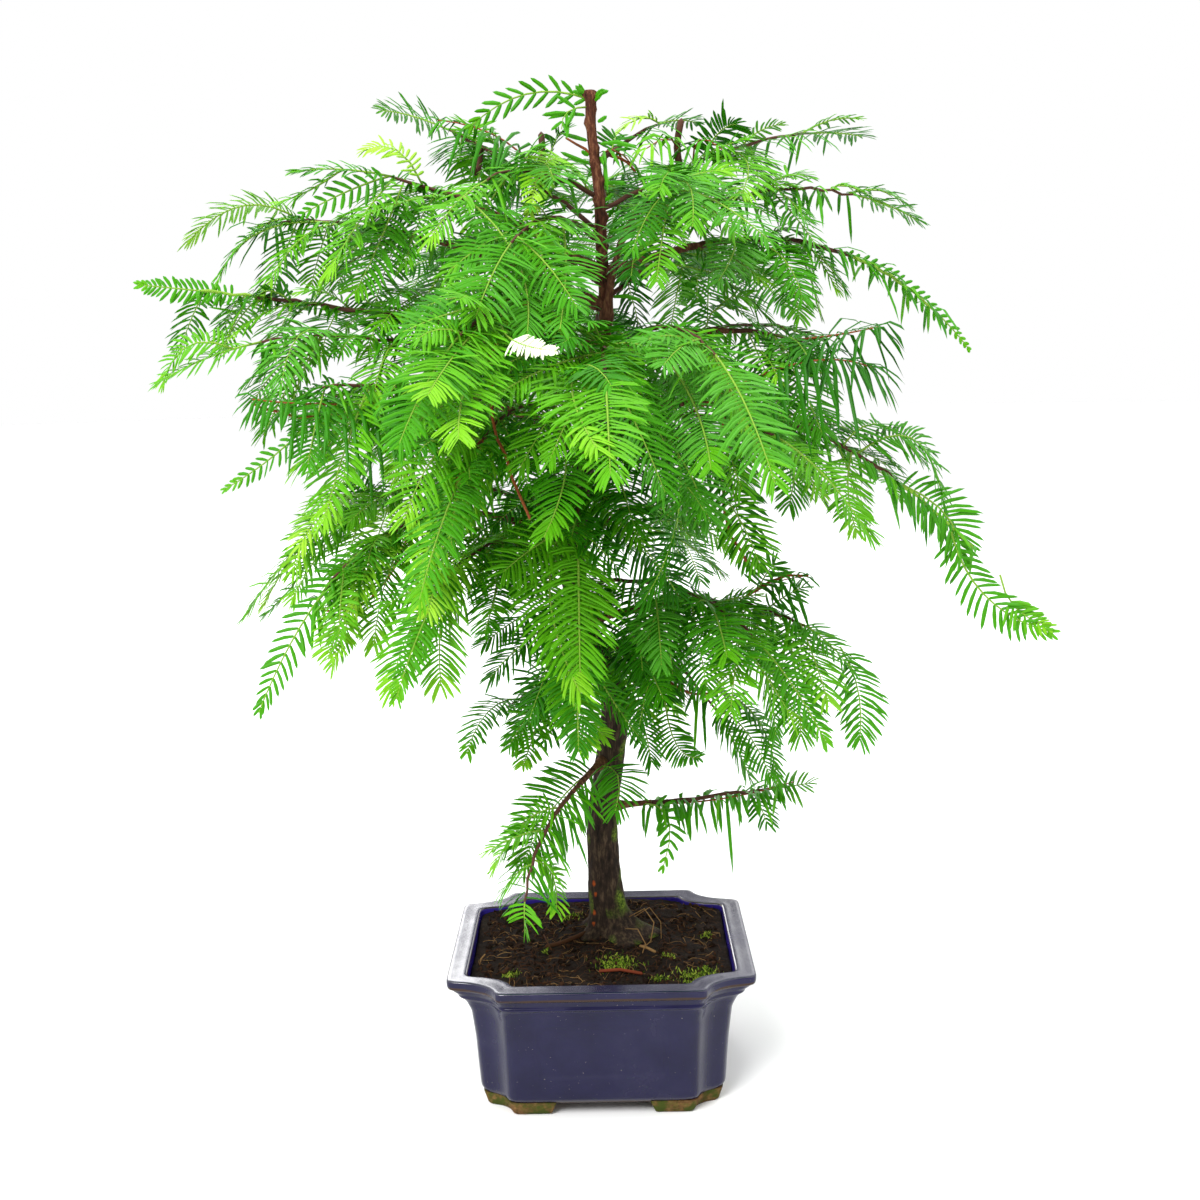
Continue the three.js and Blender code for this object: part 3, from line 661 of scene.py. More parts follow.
FINE_STEP = 0.46
FINE_ANGLE = (0.6, 1.25)    # between a finer spray and what it grows from
FINE_LENGTH = (24, 62)
FINE_TRIM = (1, 0.75, 0.55)
FINE_SAG = (0.1, 0.5)
FINE_MARGIN = 2.7           # kept from all other sprays
FINE_REACH = 10             # and no further than this from the first growth
FINE_FROM_SPRAY = 0.4       # the share of tries that start low on another spray
FINE_ON_SPRAY = (0.05, 0.5)   # and the stretch of it where they start
REACH_FROM = 0.1            # the reach of the first growth starts at this share of each limb
FINE_SEED = 7
# The share of each limb up to which finer sprays grow, where that isn't all of it.
FINE_UNTIL = {
    "left_upper": 0.55, "left_far": 0.76, "left_high": 0.6, "left_mid": 0.65, "left_back": 0.6,
    "left_hang": 0.6, "left_front_low": 0.6, "left_under": 0.3, "left_crest": 0.6,
    "right_crest": 0.45, "right_upper": 0.5, "right_arch": 0.4, "right_mid": 0.6,
    "right_back": 0.6, "right_long": 0.5, "right_low": 0.6, "right_low_front": 0.6,
    "right_under": 0.4, "crest_right": 0.3, "crest_left": 0, "right_lowest": 0, "left_lowest": 0,
}
OWN_END = ("crest_left",)   # limbs that carry chosen sprays only
# Limbs that end in one spray along their own stem: where it starts, its needles and its kind.
END_SPRAYS = {"right_arch": (0.6, 5.5, "sparse"), "left_far": (0.76, 7.5, "facing"),
              "left_hang": (0.6, 12, "sparse"), "left_front_low": (0.62, 12, "full"),
              "right_low_front": (0.66, 11, "full")}
OPEN_SHARE = (0.42, 0.3, 0.25)   # a spray with this share in openings isn't grown, by its place
LEADER_FROM = 378           # above this height no finer sprays grow in front of the leader
LEADER_VIEW = ((-5, 12), (-70, 2))   # the span in x and in y that is kept open there


def hides_leader(points):
    (left, right), (front, back) = LEADER_VIEW
    x, y, z = points.T
    return bool(((x > left) & (x < right) & (y > front) & (y < back) & (z > LEADER_FROM)).any())


def chosen_spray(limb, root, middle, tip, tip_y, kind, needle=0, tint="none", bare=0.1):
    """A spray through three places in the view, with its bend and its tip in whole mm."""
    if isinstance(root, tuple):
        start = on_curve(limb.curve, share_seen_at(limb.curve, root))
    else:
        start = np.array((*trunk_at(root)[0], root))
    end = np.round(point_seen_at(tip, tip_y))
    straight = (start + end) / 2
    bend = 2 * (point_seen_at(middle, straight[1]) - straight)
    curve = np.array((start, straight + np.round((bend[0], 0, bend[2])), end))
    return Spray(curve, curve_length(curve), 3, needle, tint, bare, kind)


def chosen_growth(limbs):
    by_name = {limb.name: limb for limb in limbs}
    for name in OWN_END:
        by_name[name].sprays.clear()
    for name, (start, needle, kind) in END_SPRAYS.items():
        curve = part_of_curve(by_name[name].curve, start, 1)
        by_name[name].sprays[0] = Spray(curve, curve_length(curve), 3, needle, "leaf", 0, kind)
    by_name["right_long"].sprays.pop(0)
    for limb in limbs:
        limb.sprays = [spray for spray in limb.sprays if spray.place == 3
                       or in_opening(test_points(spray)).mean() < OPEN_SHARE[spray.place]]
    for name, rows in CHOSEN.items():
        by_name[name].sprays += [chosen_spray(by_name[name], *row) for row in rows]


def finer_growth(limbs):
    """Finer sprays all round the stems and low on other sprays, within the first growth's reach."""
    rng = random.Random(FINE_SEED)
    space = TakenSpace(FINE_MARGIN)
    first_points = []
    for owner, limb in enumerate(limbs):
        bough = np.linspace(REACH_FROM, 1, math.ceil(limb.whole / LIMB_POINT_STEP))
        first_points.extend(on_curve(limb.curve, bough))
        for spray in limb.sprays:
            first_points.extend(test_points(spray))
            if spray.kind not in ("twig", "peg"):
                space.take(test_points(spray, NEEDLE_REACH), owner)
    reach = kdtree.KDTree(len(first_points))
    for index, point in enumerate(first_points):
        reach.insert(point, index)
    reach.balance()
    turns = []
    for limb in limbs:
        until = min(limb.last, FINE_UNTIL.get(limb.name, 1))
        turns += [(limb, until)] * int(limb.whole * until / FINE_STEP)
    rng.shuffle(turns)
    for limb, until in turns:
        if rng.random() < FINE_FROM_SPRAY and len(limb.sprays) > 1:
            parent = limb.sprays[rng.randrange(1, len(limb.sprays))].curve
            if np.linalg.norm(parent[0] - limb.curve[0]) > until * limb.whole:
                continue
            t = rng.uniform(*FINE_ON_SPRAY)
        else:
            parent = limb.curve
            t = rng.uniform(STEM_BARE, until)
        course = course_of(parent, t)
        beside = beside_of(course)
        above = np.cross(beside, course)
        turn, angle = rng.uniform(-math.pi, math.pi), rng.uniform(*FINE_ANGLE)
        out = beside * math.cos(turn) + above * math.sin(turn)
        course = unit(course * math.cos(angle) + out * math.sin(angle))
        length, sag = rng.uniform(*FINE_LENGTH), rng.uniform(*FINE_SAG)
        for trim in FINE_TRIM:
            spray = spray_from(on_curve(parent, t), course, length * trim, sag, 2)
            points = test_points(spray, NEEDLE_REACH)
            if not is_off_trunk(points) or hides_leader(points):
                continue
            if in_opening(points).mean() > OPEN_SHARE[2]:
                continue
            if any(reach.find(point)[2] > FINE_REACH for point in points[::2]):
                continue
            if space.is_free(points, None, FINE_MARGIN, FINE_MARGIN):
                limb.sprays.append(spray)
                space.take(points, None)
                break


# ---------------------------------------------------------------- joined meshes from arrays

NEEDLE_STATIONS = np.array((0.07, 0.45, 0.84))   # shares of a needle with a cross-section
NEEDLE_WIDTHS = np.array((0.34, 0.5, 0.4))       # half the width there, as a share of the width
NEEDLE_RIDGE = 0.2                               # height of the midrib, likewise
NEEDLE_POINTS = 11


def needle_faces():
    """The triangles of one needle: point 0 is its root, then left, right and ridge, last its tip."""
    left, right, ridge = 1, 2, 3
    faces = [(0, left, ridge), (0, ridge, right), (0, right, left)]
    for near in (1, 4):
        for a, b in ((0, 2), (2, 1), (1, 0)):
            faces += [(near + a, near + 3 + a, near + 3 + b), (near + a, near + 3 + b, near + b)]
    left, right, ridge, tip = 7, 8, 9, 10
    faces += [(tip, ridge, left), (tip, right, ridge), (tip, left, right)]
    return np.array(faces)


NEEDLE_FACES = needle_faces()


class Needles:
    """Needles gathered for one piece, as rows of numbers."""

    def __init__(self):
        self.rows = []
        self.tints = []

    def add(self, root, course, above, bend, length, width, tint):
        """Rows of needles: vectors for root, course, upper side and bend, and their sizes."""
        count = len(root)
        sizes = np.stack((np.broadcast_to(length, count), np.broadcast_to(width, count)), axis=1)
        self.rows.append(np.concatenate((root, course, above, bend, sizes), axis=1))
        self.tints.append(np.broadcast_to(tint, count))

    def arrays(self):
        """The points, triangles and tint numbers of all the needles."""
        rows = np.concatenate(self.rows)
        root, course, above, bend = rows[:, 0:3], rows[:, 3:6], rows[:, 6:9], rows[:, 9:12]
        length, width = rows[:, 12:13], rows[:, 13:14]
        points = np.empty((len(rows), NEEDLE_POINTS, 3))
        points[:, 0] = root
        for station, (share, half) in enumerate(zip(NEEDLE_STATIONS, NEEDLE_WIDTHS)):
            centre = root + (course * share + bend * share ** 2) * length
            heading = unit(course + 2 * bend * share)
            beside = unit(np.cross(heading, above))
            upper = np.cross(beside, heading)
            points[:, 1 + 3 * station] = centre - beside * half * width
            points[:, 2 + 3 * station] = centre + beside * half * width
            points[:, 3 + 3 * station] = centre + upper * NEEDLE_RIDGE * width
        points[:, 10] = root + (course + bend) * length
        starts = np.arange(len(rows))[:, None, None] * NEEDLE_POINTS
        faces = (NEEDLE_FACES[None] + starts).reshape(-1, 3)
        tints = np.repeat(np.concatenate(self.tints), len(NEEDLE_FACES))
        return points.reshape(-1, 3), faces, tints


class Twigs:
    """Thin closed tubes gathered for one piece."""

    def __init__(self):
        self.points = []
        self.faces = []
        self.kinds = []
        self.count = 0

    def add(self, centres, radii, kind, sides):
        """A tube through centres, with a pointed end past the last one."""
        centres = np.asarray(centres, float)
        rings = len(centres)
        radii = np.broadcast_to(radii, rings)
        course = unit(np.gradient(centres, axis=0))
        level = np.cross(course, UP)
        flat = np.linalg.norm(level, axis=1) < 1e-3
        level[flat] = (1, 0, 0)
        beside = unit(level)
        above = np.cross(beside, course)
        angle = np.arange(sides) * 2 * math.pi / sides
        spokes = (beside[:, None] * np.cos(angle)[None, :, None]
                  + above[:, None] * np.sin(angle)[None, :, None])
        skin = centres[:, None] + spokes * radii[:, None, None]
        ends = np.array((centres[0], centres[-1] + course[-1] * radii[-1]))
        ring = np.arange(sides)
        after = (ring + 1) % sides
        faces = [np.stack((ring * 0 + rings * sides, ring, after), axis=1)]
        for row in range(rings - 1):
            near, far = row * sides, (row + 1) * sides
            faces.append(np.stack((near + ring, far + ring, far + after), axis=1))
            faces.append(np.stack((near + ring, far + after, near + after), axis=1))
        last = (rings - 1) * sides
        faces.append(np.stack((last + ring, ring * 0 + rings * sides + 1, last + after), axis=1))
        self.points.append(np.concatenate((skin.reshape(-1, 3), ends)))
        tube = np.concatenate(faces) + self.count
        self.faces.append(tube)
        self.kinds.append(np.full(len(tube), kind))
        self.count += rings * sides + 2

    def arrays(self):
        return np.concatenate(self.points), np.concatenate(self.faces), np.concatenate(self.kinds)


def mesh_piece(name, arrays, materials, smooth=False):
    """A piece from joined arrays of points, triangles and material numbers."""
    points, faces, kinds = arrays
    mesh = bpy.data.meshes.new(name)
    mesh.vertices.add(len(points))
    mesh.vertices.foreach_set("co", (points * MM + np.array(POT_MIDDLE)).ravel())
    mesh.loops.add(faces.size)
    mesh.loops.foreach_set("vertex_index", faces.ravel().astype(np.int32))
    mesh.polygons.add(len(faces))
    mesh.polygons.foreach_set("loop_start", np.arange(0, faces.size, 3, dtype=np.int32))
    for made in materials:
        mesh.materials.append(made)
    mesh.polygons.foreach_set("material_index", kinds.astype(np.int32))
    mesh.polygons.foreach_set("use_smooth", np.full(len(faces), smooth))
    mesh.update(calc_edges=True)
    mesh.validate()
    return place_piece(name, mesh)


def place_piece(name, mesh):
    piece = bpy.data.objects.new(name, mesh)
    bpy.context.scene.collection.objects.link(piece)
    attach(piece, BODY)
    return piece


# ---------------------------------------------------------------- materials

def rgba(*levels):
    """A colour given in display levels from 0 to 255, as the linear numbers that shaders take."""
    shares = [level / 255 for level in levels]
    return (*(s / 12.92 if s <= 0.04045 else ((s + 0.055) / 1.055) ** 2.4 for s in shares), 1)


def material(name, colour, roughness, specular):
    """A plain material, and its node tree and shader for those that get a pattern."""
    made = bpy.data.materials.new(name)
    made.use_nodes = True
    shader = made.node_tree.nodes["Principled BSDF"]
    shader.inputs["Base Color"].default_value = rgba(*colour)
    shader.inputs["Roughness"].default_value = roughness
    shader.inputs["Specular IOR Level"].default_value = specular
    return made, made.node_tree, shader


def node(tree, kind, **inputs):
    made = tree.nodes.new(kind)
    for name, value in inputs.items():
        socket = made.inputs[name.replace("_", " ")]
        if isinstance(value, bpy.types.NodeSocket):
            tree.links.new(value, socket)
        else:
            socket.default_value = value
    return made


def object_place(tree, scale=(1, 1, 1)):
    """The place on the piece, in the mesh's own metres, stretched by a scale."""
    place = node(tree, "ShaderNodeTexCoord").outputs["Object"]
    return node(tree, "ShaderNodeMapping", Vector=place, Scale=scale).outputs["Vector"]


def pattern(tree, place, scale, detail, roughness):
    made = node(tree, "ShaderNodeTexNoise", Vector=place, Scale=scale, Detail=detail,
                Roughness=roughness)
    return made.outputs["Fac"]


def colour_ramp(tree, share, *stops):
    """Colours dealt out by a share: stops of a place and display levels."""
    ramp = node(tree, "ShaderNodeValToRGB", Fac=share)
    elements = ramp.color_ramp.elements
    while len(elements) < len(stops):
        elements.new(0.5)
    for element, (place, colour) in zip(elements, stops):
        element.position = place
        element.color = rgba(*colour)
    return ramp.outputs["Color"]


def mixed(tree, share, first, second):
    mix = tree.nodes.new("ShaderNodeMix")
    mix.data_type = "RGBA"
    for socket, value in zip((mix.inputs[0], mix.inputs[6], mix.inputs[7]), (share, first, second)):
        if isinstance(value, bpy.types.NodeSocket):
            tree.links.new(value, socket)
        else:
            socket.default_value = value
    return mix.outputs[2]


def steps(tree, value, low, high, to_low=0.0, to_high=1.0):
    made = node(tree, "ShaderNodeMapRange", Value=value, From_Min=low, From_Max=high,
                To_Min=to_low, To_Max=to_high)
    return made.outputs["Result"]


def attribute(tree, name):
    made = tree.nodes.new("ShaderNodeAttribute")
    made.attribute_name = name
    return made.outputs["Fac"]


def add_bump(tree, shader, height, strength, distance):
    bump = node(tree, "ShaderNodeBump", Height=height, Strength=strength, Distance=distance)
    tree.links.new(bump.outputs["Normal"], shader.inputs["Normal"])


# ---------------------------------------------------------------- the leaves' tints

# deep and shade are darker greens that paint shade on sprays inside the crown; the bluish green tint is a
# painted sheen and the near-white tint a painted highlight
TINTS = {
    "deep": (34, 102, 2), "shade": (46, 122, 4), "leaf": (62, 142, 6), "fresh": (84, 160, 10),
    "lime": (116, 182, 26), "pale": (150, 204, 48), "bluish": (74, 150, 34),
    "bleached": (232, 240, 206),
}
TINT_NAMES = list(TINTS)
PALER = {"deep": "shade", "shade": "leaf", "leaf": "fresh", "fresh": "lime", "lime": "pale",
         "pale": "pale", "bluish": "fresh", "bleached": "bleached"}


def leaf_materials():
    return [material(f"needle_{name}", colour, 0.46, 0.16)[0] for name, colour in TINTS.items()]


TWIG_KINDS = {"old_twig": (84, 50, 36), "young_twig": (140, 72, 32), "green_twig": (128, 168, 52)}
OLD, YOUNG, GREEN = range(3)


def twig_materials():
    return [material(name, colour, 0.7, 0.3)[0] for name, colour in TWIG_KINDS.items()]


# ---------------------------------------------------------------- sprays of needles

MIDRIB_RADIUS = (0.62, 0.3)   # a midrib's radius at its root and at its tip
MIDRIB_FULL = 70            # a spray of this length has a midrib of that radius
MIDRIB_LEAST = 0.75         # and the shortest spray's has this share of it
MIDRIB_STEP, MIDRIB_RINGS = 7, 5   # how far apart its rings stand, and the fewest of them
MIDRIB_SIDES, TWIG_SIDES, PEG_SIDES = 4, 6, 7
TWIG_SKIN, TWIG_WOBBLE = (1.0, 0.6), 0.5
PEG_SKIN = (2.0, 1.7)
PALE_END = 0.86             # past this share of a spray its needles are paler, if its end is pale
PALE_ENDED = 0.35           # the share of sprays with a pale end
NO_PALE_END = 2
CROWDED_FROM, CROWDED_OVER = 0.7, 0.3   # the end of a spray, where its needles stand closer
CROWDED = 0.4


def needle_places(length, spacing, root):
    """Shares of a spray where its pairs of needles grow, closer towards the tip."""
    places = []
    at = root * length
    while at < length:
        places.append(at / length)
        at += spacing * (1 - CROWDED * max(0, at / length - CROWDED_FROM) / CROWDED_OVER)
    return np.array(places)


TILT = (0.3, 1.1)           # how far a spray's upper side leans away from the tree's middle
TILT_SIDE = 0.3
TILT_MIDDLE = 20
TILT_SOFTENS = 25           # a spray that reaches out this far leans by half of that
SPRAY_ROLL = 0.2            # how far a whole spray is rolled about its midrib
# A needle's angle to its midrib in degrees, by its place on the spray.
NEEDLE_ANGLE = ((0, 0.5, 0.85, 1), (84, 73, 58, 28))
ROOT_PROFILE = (0.7, 1.3)   # the needles' length at the root of a spray, and how it grows
TIP_PROFILE = (0.6, 0.5, 1.5)   # what its tip takes off, from which share on, and the power
LONGEST_TRIM = (0.8, 1.15)
SWEEP = 0.16                # how far a needle bends towards the tip
SLIMMER = (0.72, 0.28)      # a needle's width: the part that is fixed, and the part for its length
# How far single needles stray from all that.
STRAY = {"roll": 0.1, "angle": 0.08, "lean": 0.1, "length": 0.07, "sweep": 0.06, "droop": 0.3,
         "pitch": 0.15, "twist": 0.25, "width": 0.06}

# How the needles sit in each kind of spray: spacing, width, droop, how far they lean forward and
# up, and the kind of twig that carries them.
KINDS = {
    "full": (2.2, 1.6, 0.2, 1.0, 0.14, GREEN), "sparse": (4.4, 2.1, 0.1, 0.85, 0.1, GREEN),
    "facing": (2.6, 1.9, 0.14, 0.9, 0.1, GREEN), "hanging": (4.2, 2.2, 1.15, 1.15, 0.5, YOUNG),
    # the near-white painted highlight spray has a kind of its own
    "bleached": (1.7, 1.9, 0.1, 0.8, 0.14, GREEN), "shoot": (6.4, 2.3, 0.05, 0.62, 0.1, GREEN),
}
FACING = ("sparse", "facing", "shoot", "bleached")   # kinds whose needles spread out flat to the front
TO_FRONT = np.array((0.0, -1.0, 0.25))


def dress_spray(needles, twigs, spray, rng, tint, pale_end):
    """Puts the needles and the midrib on one spray."""
    end = np.linspace(0, 1, max(MIDRIB_RINGS, int(spray.length / MIDRIB_STEP)))
    if spray.kind == "twig":
        wobble = rng.normal(0, TWIG_WOBBLE, (len(end), 3)) * (end > 0)[:, None]
        radii = np.interp(end, (0, 1), TWIG_SKIN)
        twigs.add(on_curve(spray.curve, end) + wobble, radii, YOUNG, TWIG_SIDES)
        return
    if spray.kind == "peg":
        twigs.add(on_curve(spray.curve, end), np.interp(end, (0, 1), PEG_SKIN), OLD, PEG_SIDES)
        return
    spacing, width, droop, forward, rise, carrier = KINDS[spray.kind]
    places = needle_places(spray.length, spacing, spray.bare)
    share = np.repeat(places, 2)
    side = np.tile((1.0, -1.0), len(places))[:, None]
    count = len(share)
    course = course_of(spray.curve, share)
    beside = beside_of(course)
    above = np.cross(beside, course)
    outward = np.array((spray.curve[2][0] * TILT_SIDE, spray.curve[2][1] - TILT_MIDDLE, 0))
    above = above + outward / (np.linalg.norm(outward) + TILT_SOFTENS) * rng.uniform(*TILT)
    if spray.kind in FACING:
        above = np.broadcast_to(TO_FRONT, course.shape)
    above = unit(above - course * (above * course).sum(axis=1)[:, None])
    beside = np.cross(course, above)
    roll = rng.normal(0, SPRAY_ROLL) + rng.normal(0, STRAY["roll"], count)[:, None]
    beside, above = (beside * np.cos(roll) + above * np.sin(roll),
                     above * np.cos(roll) - beside * np.sin(roll))
    angle = np.radians(np.interp(share, *NEEDLE_ANGLE))[:, None] * forward
    angle = angle + rng.normal(0, STRAY["angle"], count)[:, None]
    lean = rng.normal(rise, STRAY["lean"], count)[:, None]
    out = unit(course * np.cos(angle) + beside * side * np.sin(angle) + above * lean)
    taken, taken_from, power = TIP_PROFILE
    profile = np.minimum(1, ROOT_PROFILE[0] + ROOT_PROFILE[1] * share)
    profile = profile * (1 - taken * np.maximum(0, (share - taken_from) / (1 - taken_from)) ** power)
    fixed, growing = NEEDLE_REACH
    longest = spray.needle or (fixed + growing * spray.length) * rng.uniform(*LONGEST_TRIM)
    length = longest * profile * rng.normal(1, STRAY["length"], count)
    sweep = rng.normal(SWEEP, STRAY["sweep"], count)[:, None]
    bend = course * sweep - UP * (droop * rng.normal(1, STRAY["droop"], count)[:, None])
    upper = unit(above + out * rng.normal(0, STRAY["pitch"], count)[:, None]
                 + beside * rng.normal(0, STRAY["twist"], count)[:, None])
    number, paler = TINT_NAMES.index(tint), TINT_NAMES.index(PALER[tint])
    tints = np.where(share > pale_end, paler, number)
    widths = width * (SLIMMER[0] + SLIMMER[1] * length / length.max())
    widths = widths * rng.normal(1, STRAY["width"], count)
    needles.add(on_curve(spray.curve, share), out, upper, bend, length, widths, tints)
    radii = np.interp(end, (0, 1), MIDRIB_RADIUS)
    radii = radii * (MIDRIB_LEAST + (1 - MIDRIB_LEAST) * spray.length / MIDRIB_FULL)
    twigs.add(on_curve(spray.curve, end), radii, carrier, MIDRIB_SIDES)


STEM_NEEDLE_SPACING = 3.6
STEM_NEEDLE_LENGTH = (12, 26)
STEM_NEEDLE_WIDTH = 1.8
STEM_NEEDLE_TINTS = ("shade", "leaf", "leaf", "fresh")
STEM_FORWARD, STEM_RISE = (-0.1, 0.6), (-0.3, 0.5)   # how far its needles lean along it and up
STEM_DROOP = (0.2, 0.9)
STEM_PITCH = 0.2
SHORT_NEEDLE_LENGTH = (5, 9)
SHORT_NEEDLED = ("left_far", "left_high")


def dress_stem(needles, curve, start, end, whole, rng, lengths):
    """Needles that hang from a stem between its sprays."""
    count = 2 * int(whole * (end - start) / STEM_NEEDLE_SPACING)
    if count < 2:
        return
    share = rng.uniform(start, end, count)
    course = course_of(curve, share)
    side = np.where(np.arange(count) % 2, 1.0, -1.0)[:, None]
    out = unit(course * rng.uniform(*STEM_FORWARD, count)[:, None] + beside_of(course) * side
               + UP * rng.uniform(*STEM_RISE, count)[:, None])
    bend = -UP * rng.uniform(*STEM_DROOP, count)[:, None]
    upper = unit(UP + out * rng.normal(0, STEM_PITCH, count)[:, None])
    length = rng.uniform(*lengths, count)
    tints = rng.choice([TINT_NAMES.index(name) for name in STEM_NEEDLE_TINTS], count)
    needles.add(on_curve(curve, share), out, upper, bend, length, STEM_NEEDLE_WIDTH, tints)


TINT_PLACE = 0.6            # the share of a spray whose place counts
CROWN_MIDDLE, CROWN_RADIUS = 4, 120   # the crown's middle in x, and how far out it is all fresh, with no painted shade
CROWN_TOP_FROM, CROWN_TOP_RISE = 400, 180   # the crown's top counts as outside too, with less painted shade
PAINTED_SHADE_SHARE = 1.3            # the further out, the fewer darker tints of painted shade, and none where this makes it 1
# painted sheen: some sprays right of this x get the bluish green tint
PAINTED_SHEEN_FROM, PAINTED_SHEEN_SHARE = 30, 0.3
LIME_LEFT_OF, LIME_BELOW = -60, 340
# the darker greens that paint shade inside the crown
PAINTED_SHADE_TINTS = ("deep", "shade")
LIME_TINTS = ("leaf", "fresh", "fresh", "lime")
FRESH_TINTS = ("shade", "leaf", "leaf", "fresh", "fresh")


def tint_by_place(spray, rng):
    """A tint that suits where a spray hangs: darker greens near the trunk as painted shade, a painted
    bluish sheen on some at the right, fresh outside and lime low at the left.
    """
    x, y, z = on_curve(spray.curve, TINT_PLACE)
    out = math.hypot(x - CROWN_MIDDLE, y) / CROWN_RADIUS + max(0, z - CROWN_TOP_FROM) / CROWN_TOP_RISE
    # painted shade: sprays near the trunk, below the crown's top, are given darker greens
    if rng.random() > out * PAINTED_SHADE_SHARE:
        return rng.choice(PAINTED_SHADE_TINTS)
    # painted sheen on some sprays at the right
    if x > PAINTED_SHEEN_FROM and rng.random() < PAINTED_SHEEN_SHARE:
        return "bluish"
    if x < LIME_LEFT_OF and z < LIME_BELOW:
        return rng.choice(LIME_TINTS)
    return rng.choice(FRESH_TINTS)


# Single long needles on the leader: height, compass angle in degrees, length and drop.
LEADER_NEEDLES = (
    (503, 185, 21, 0.35), (491, 178, 14, 0.0), (480, 182, 16, -0.1), (489, 352, 22, 0.4),
    (446, 358, 22, 0.1), (438, 5, 11, 0.6), (456, 190, 14, 0.2), (470, 10, 12, 0.3),
    (425, 175, 15, 0.3), (414, 355, 18, 0.4), (510, 320, 7, -0.3), (512, 40, 6, -0.4),
    (513, 350, 5, -0.2), (513, 15, 7, 0.0), (512, 335, 4, -0.5), (513, 170, 6, -0.1),
    (514, 190, 5, -0.4), (500, 8, 5, -0.3), (484, 178, 4, -0.3), (462, 350, 5, -0.4),
)
LEADER_NEEDLE_WIDTH = 2.4
LEADER_FORWARD, LEADER_RISE = 0.35, 0.25
LEADER_SUNK = 0.9           # they start at this share of the leader's radius


def leader_needles():
    needles = Needles()
    for height, compass, length, drop in LEADER_NEEDLES:
        centre, radius = trunk_at(np.array([height]))
        turn = math.radians(compass)
        out = np.array([(math.cos(turn), math.sin(turn) - LEADER_FORWARD, LEADER_RISE)])
        root = np.concatenate((centre, [[height]]), axis=1) + out * radius[0] * LEADER_SUNK
        needles.add(root, unit(out), TO_FRONT[None], -UP[None] * drop, length, LEADER_NEEDLE_WIDTH,
                    TINT_NAMES.index("leaf"))
    return needles


SPARSE_LIMBS = ("left_under",)   # their grown sprays are of the sparse kind
STEM_SKIN = (1.35, 0.65)    # the radius of a stem where it leaves its bough, and at its end
STEM_STEP, STEM_RINGS = 6, 6   # how far apart its rings stand, and the fewest of them
STEM_SIDES = 6
STEM_WOBBLE = 0.45
STEM_NEEDLES_FROM = 0.7     # its needles start at this share of the way to where it starts itself
# The share of a limb past which its stem is green.
GREEN_FROM = {"right_arch": 0.62, "right_long": 0.66, "left_far": 0.7, "left_low": 0.7,
              "left_hang": 0.7, "left_high": 0.7}
GREEN_MOSTLY_FROM = 0.9
LIMB_SEED = 1000


def dress_limb(limb, rng):
    needles, twigs = Needles(), Twigs()
    start = limb.bare + STEM_GAP / limb.whole if limb.bare > 0 else 0
    rings = max(STEM_RINGS, int(limb.whole * (limb.last - start) / STEM_STEP))
    share = np.linspace(start, limb.last, rings)
    wobble = rng.normal(0, STEM_WOBBLE, (len(share), 3))
    wobble[0] = wobble[-1] = 0
    stem = on_curve(limb.curve, share) + wobble
    radii = np.interp(share, (start, limb.last), STEM_SKIN)
    if limb.name not in OWN_END:
        green_from = GREEN_FROM.get(limb.name, GREEN_MOSTLY_FROM)
        turn = int(len(share) * np.interp(green_from, (start, limb.last), (0, 1)))
        twigs.add(stem[:turn + 1], radii[:turn + 1], OLD, STEM_SIDES)
        if turn < len(share) - 2:
            twigs.add(stem[turn:], radii[turn:], GREEN, STEM_SIDES)
        lengths = SHORT_NEEDLE_LENGTH if limb.name in SHORT_NEEDLED else STEM_NEEDLE_LENGTH
        needles_from = max(start * STEM_NEEDLES_FROM, STEM_BARE)
        dress_stem(needles, limb.curve, needles_from, limb.last, limb.whole, rng, lengths)
    for spray in limb.sprays:
        if limb.name in SPARSE_LIMBS and spray.place < 3:
            spray.kind = "sparse"
        tint = spray.tint or tint_by_place(spray, rng)
        is_pale = rng.random() < PALE_ENDED or spray.tint in ("fresh", "lime")
        dress_spray(needles, twigs, spray, rng, tint, PALE_END if is_pale else NO_PALE_END)
    return needles, twigs


def foliage(limbs):
    leaves = leaf_materials()
    barks = twig_materials()
    piece = mesh_piece("leader_needles", leader_needles().arrays(), leaves)
    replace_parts(piece, "needles_crest_left")
    for owner, limb in enumerate(limbs):
        rng = np.random.default_rng(LIMB_SEED + owner)
        needles, twigs = dress_limb(limb, rng)
        piece = mesh_piece(f"sprays_{limb.name}", needles.arrays(), leaves)
        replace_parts(piece, f"needles_{limb.name}")
        piece = mesh_piece(f"twigs_{limb.name}", twigs.arrays(), barks, True)
        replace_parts(piece, f"needles_{limb.name}")


# ---------------------------------------------------------------- modelling with rings

def start_ring(bm, points):
    """A closed ring of points and edges."""
    ring = [bm.verts.new(point) for point in points]
    return ring, [bm.edges.new((ring[i - 1], ring[i])) for i in range(len(ring))]


def draw_out(bm, ring, edges, points):
    """Extrudes a ring of edges to new points, and gives the new ring."""
    made = bmesh.ops.extrude_edge_only(bm, edges=edges)["geom"]
    fresh = {part for part in made if isinstance(part, bmesh.types.BMVert)}
    after = []
    for vert, point in zip(ring, points):
        twin = next(edge.other_vert(vert) for edge in vert.link_edges
                    if edge.other_vert(vert) in fresh)
        twin.co = point
        after.append(twin)
    is_new = [part for part in made if isinstance(part, bmesh.types.BMEdge)
              and part.verts[0] in fresh and part.verts[1] in fresh]
    return after, is_new


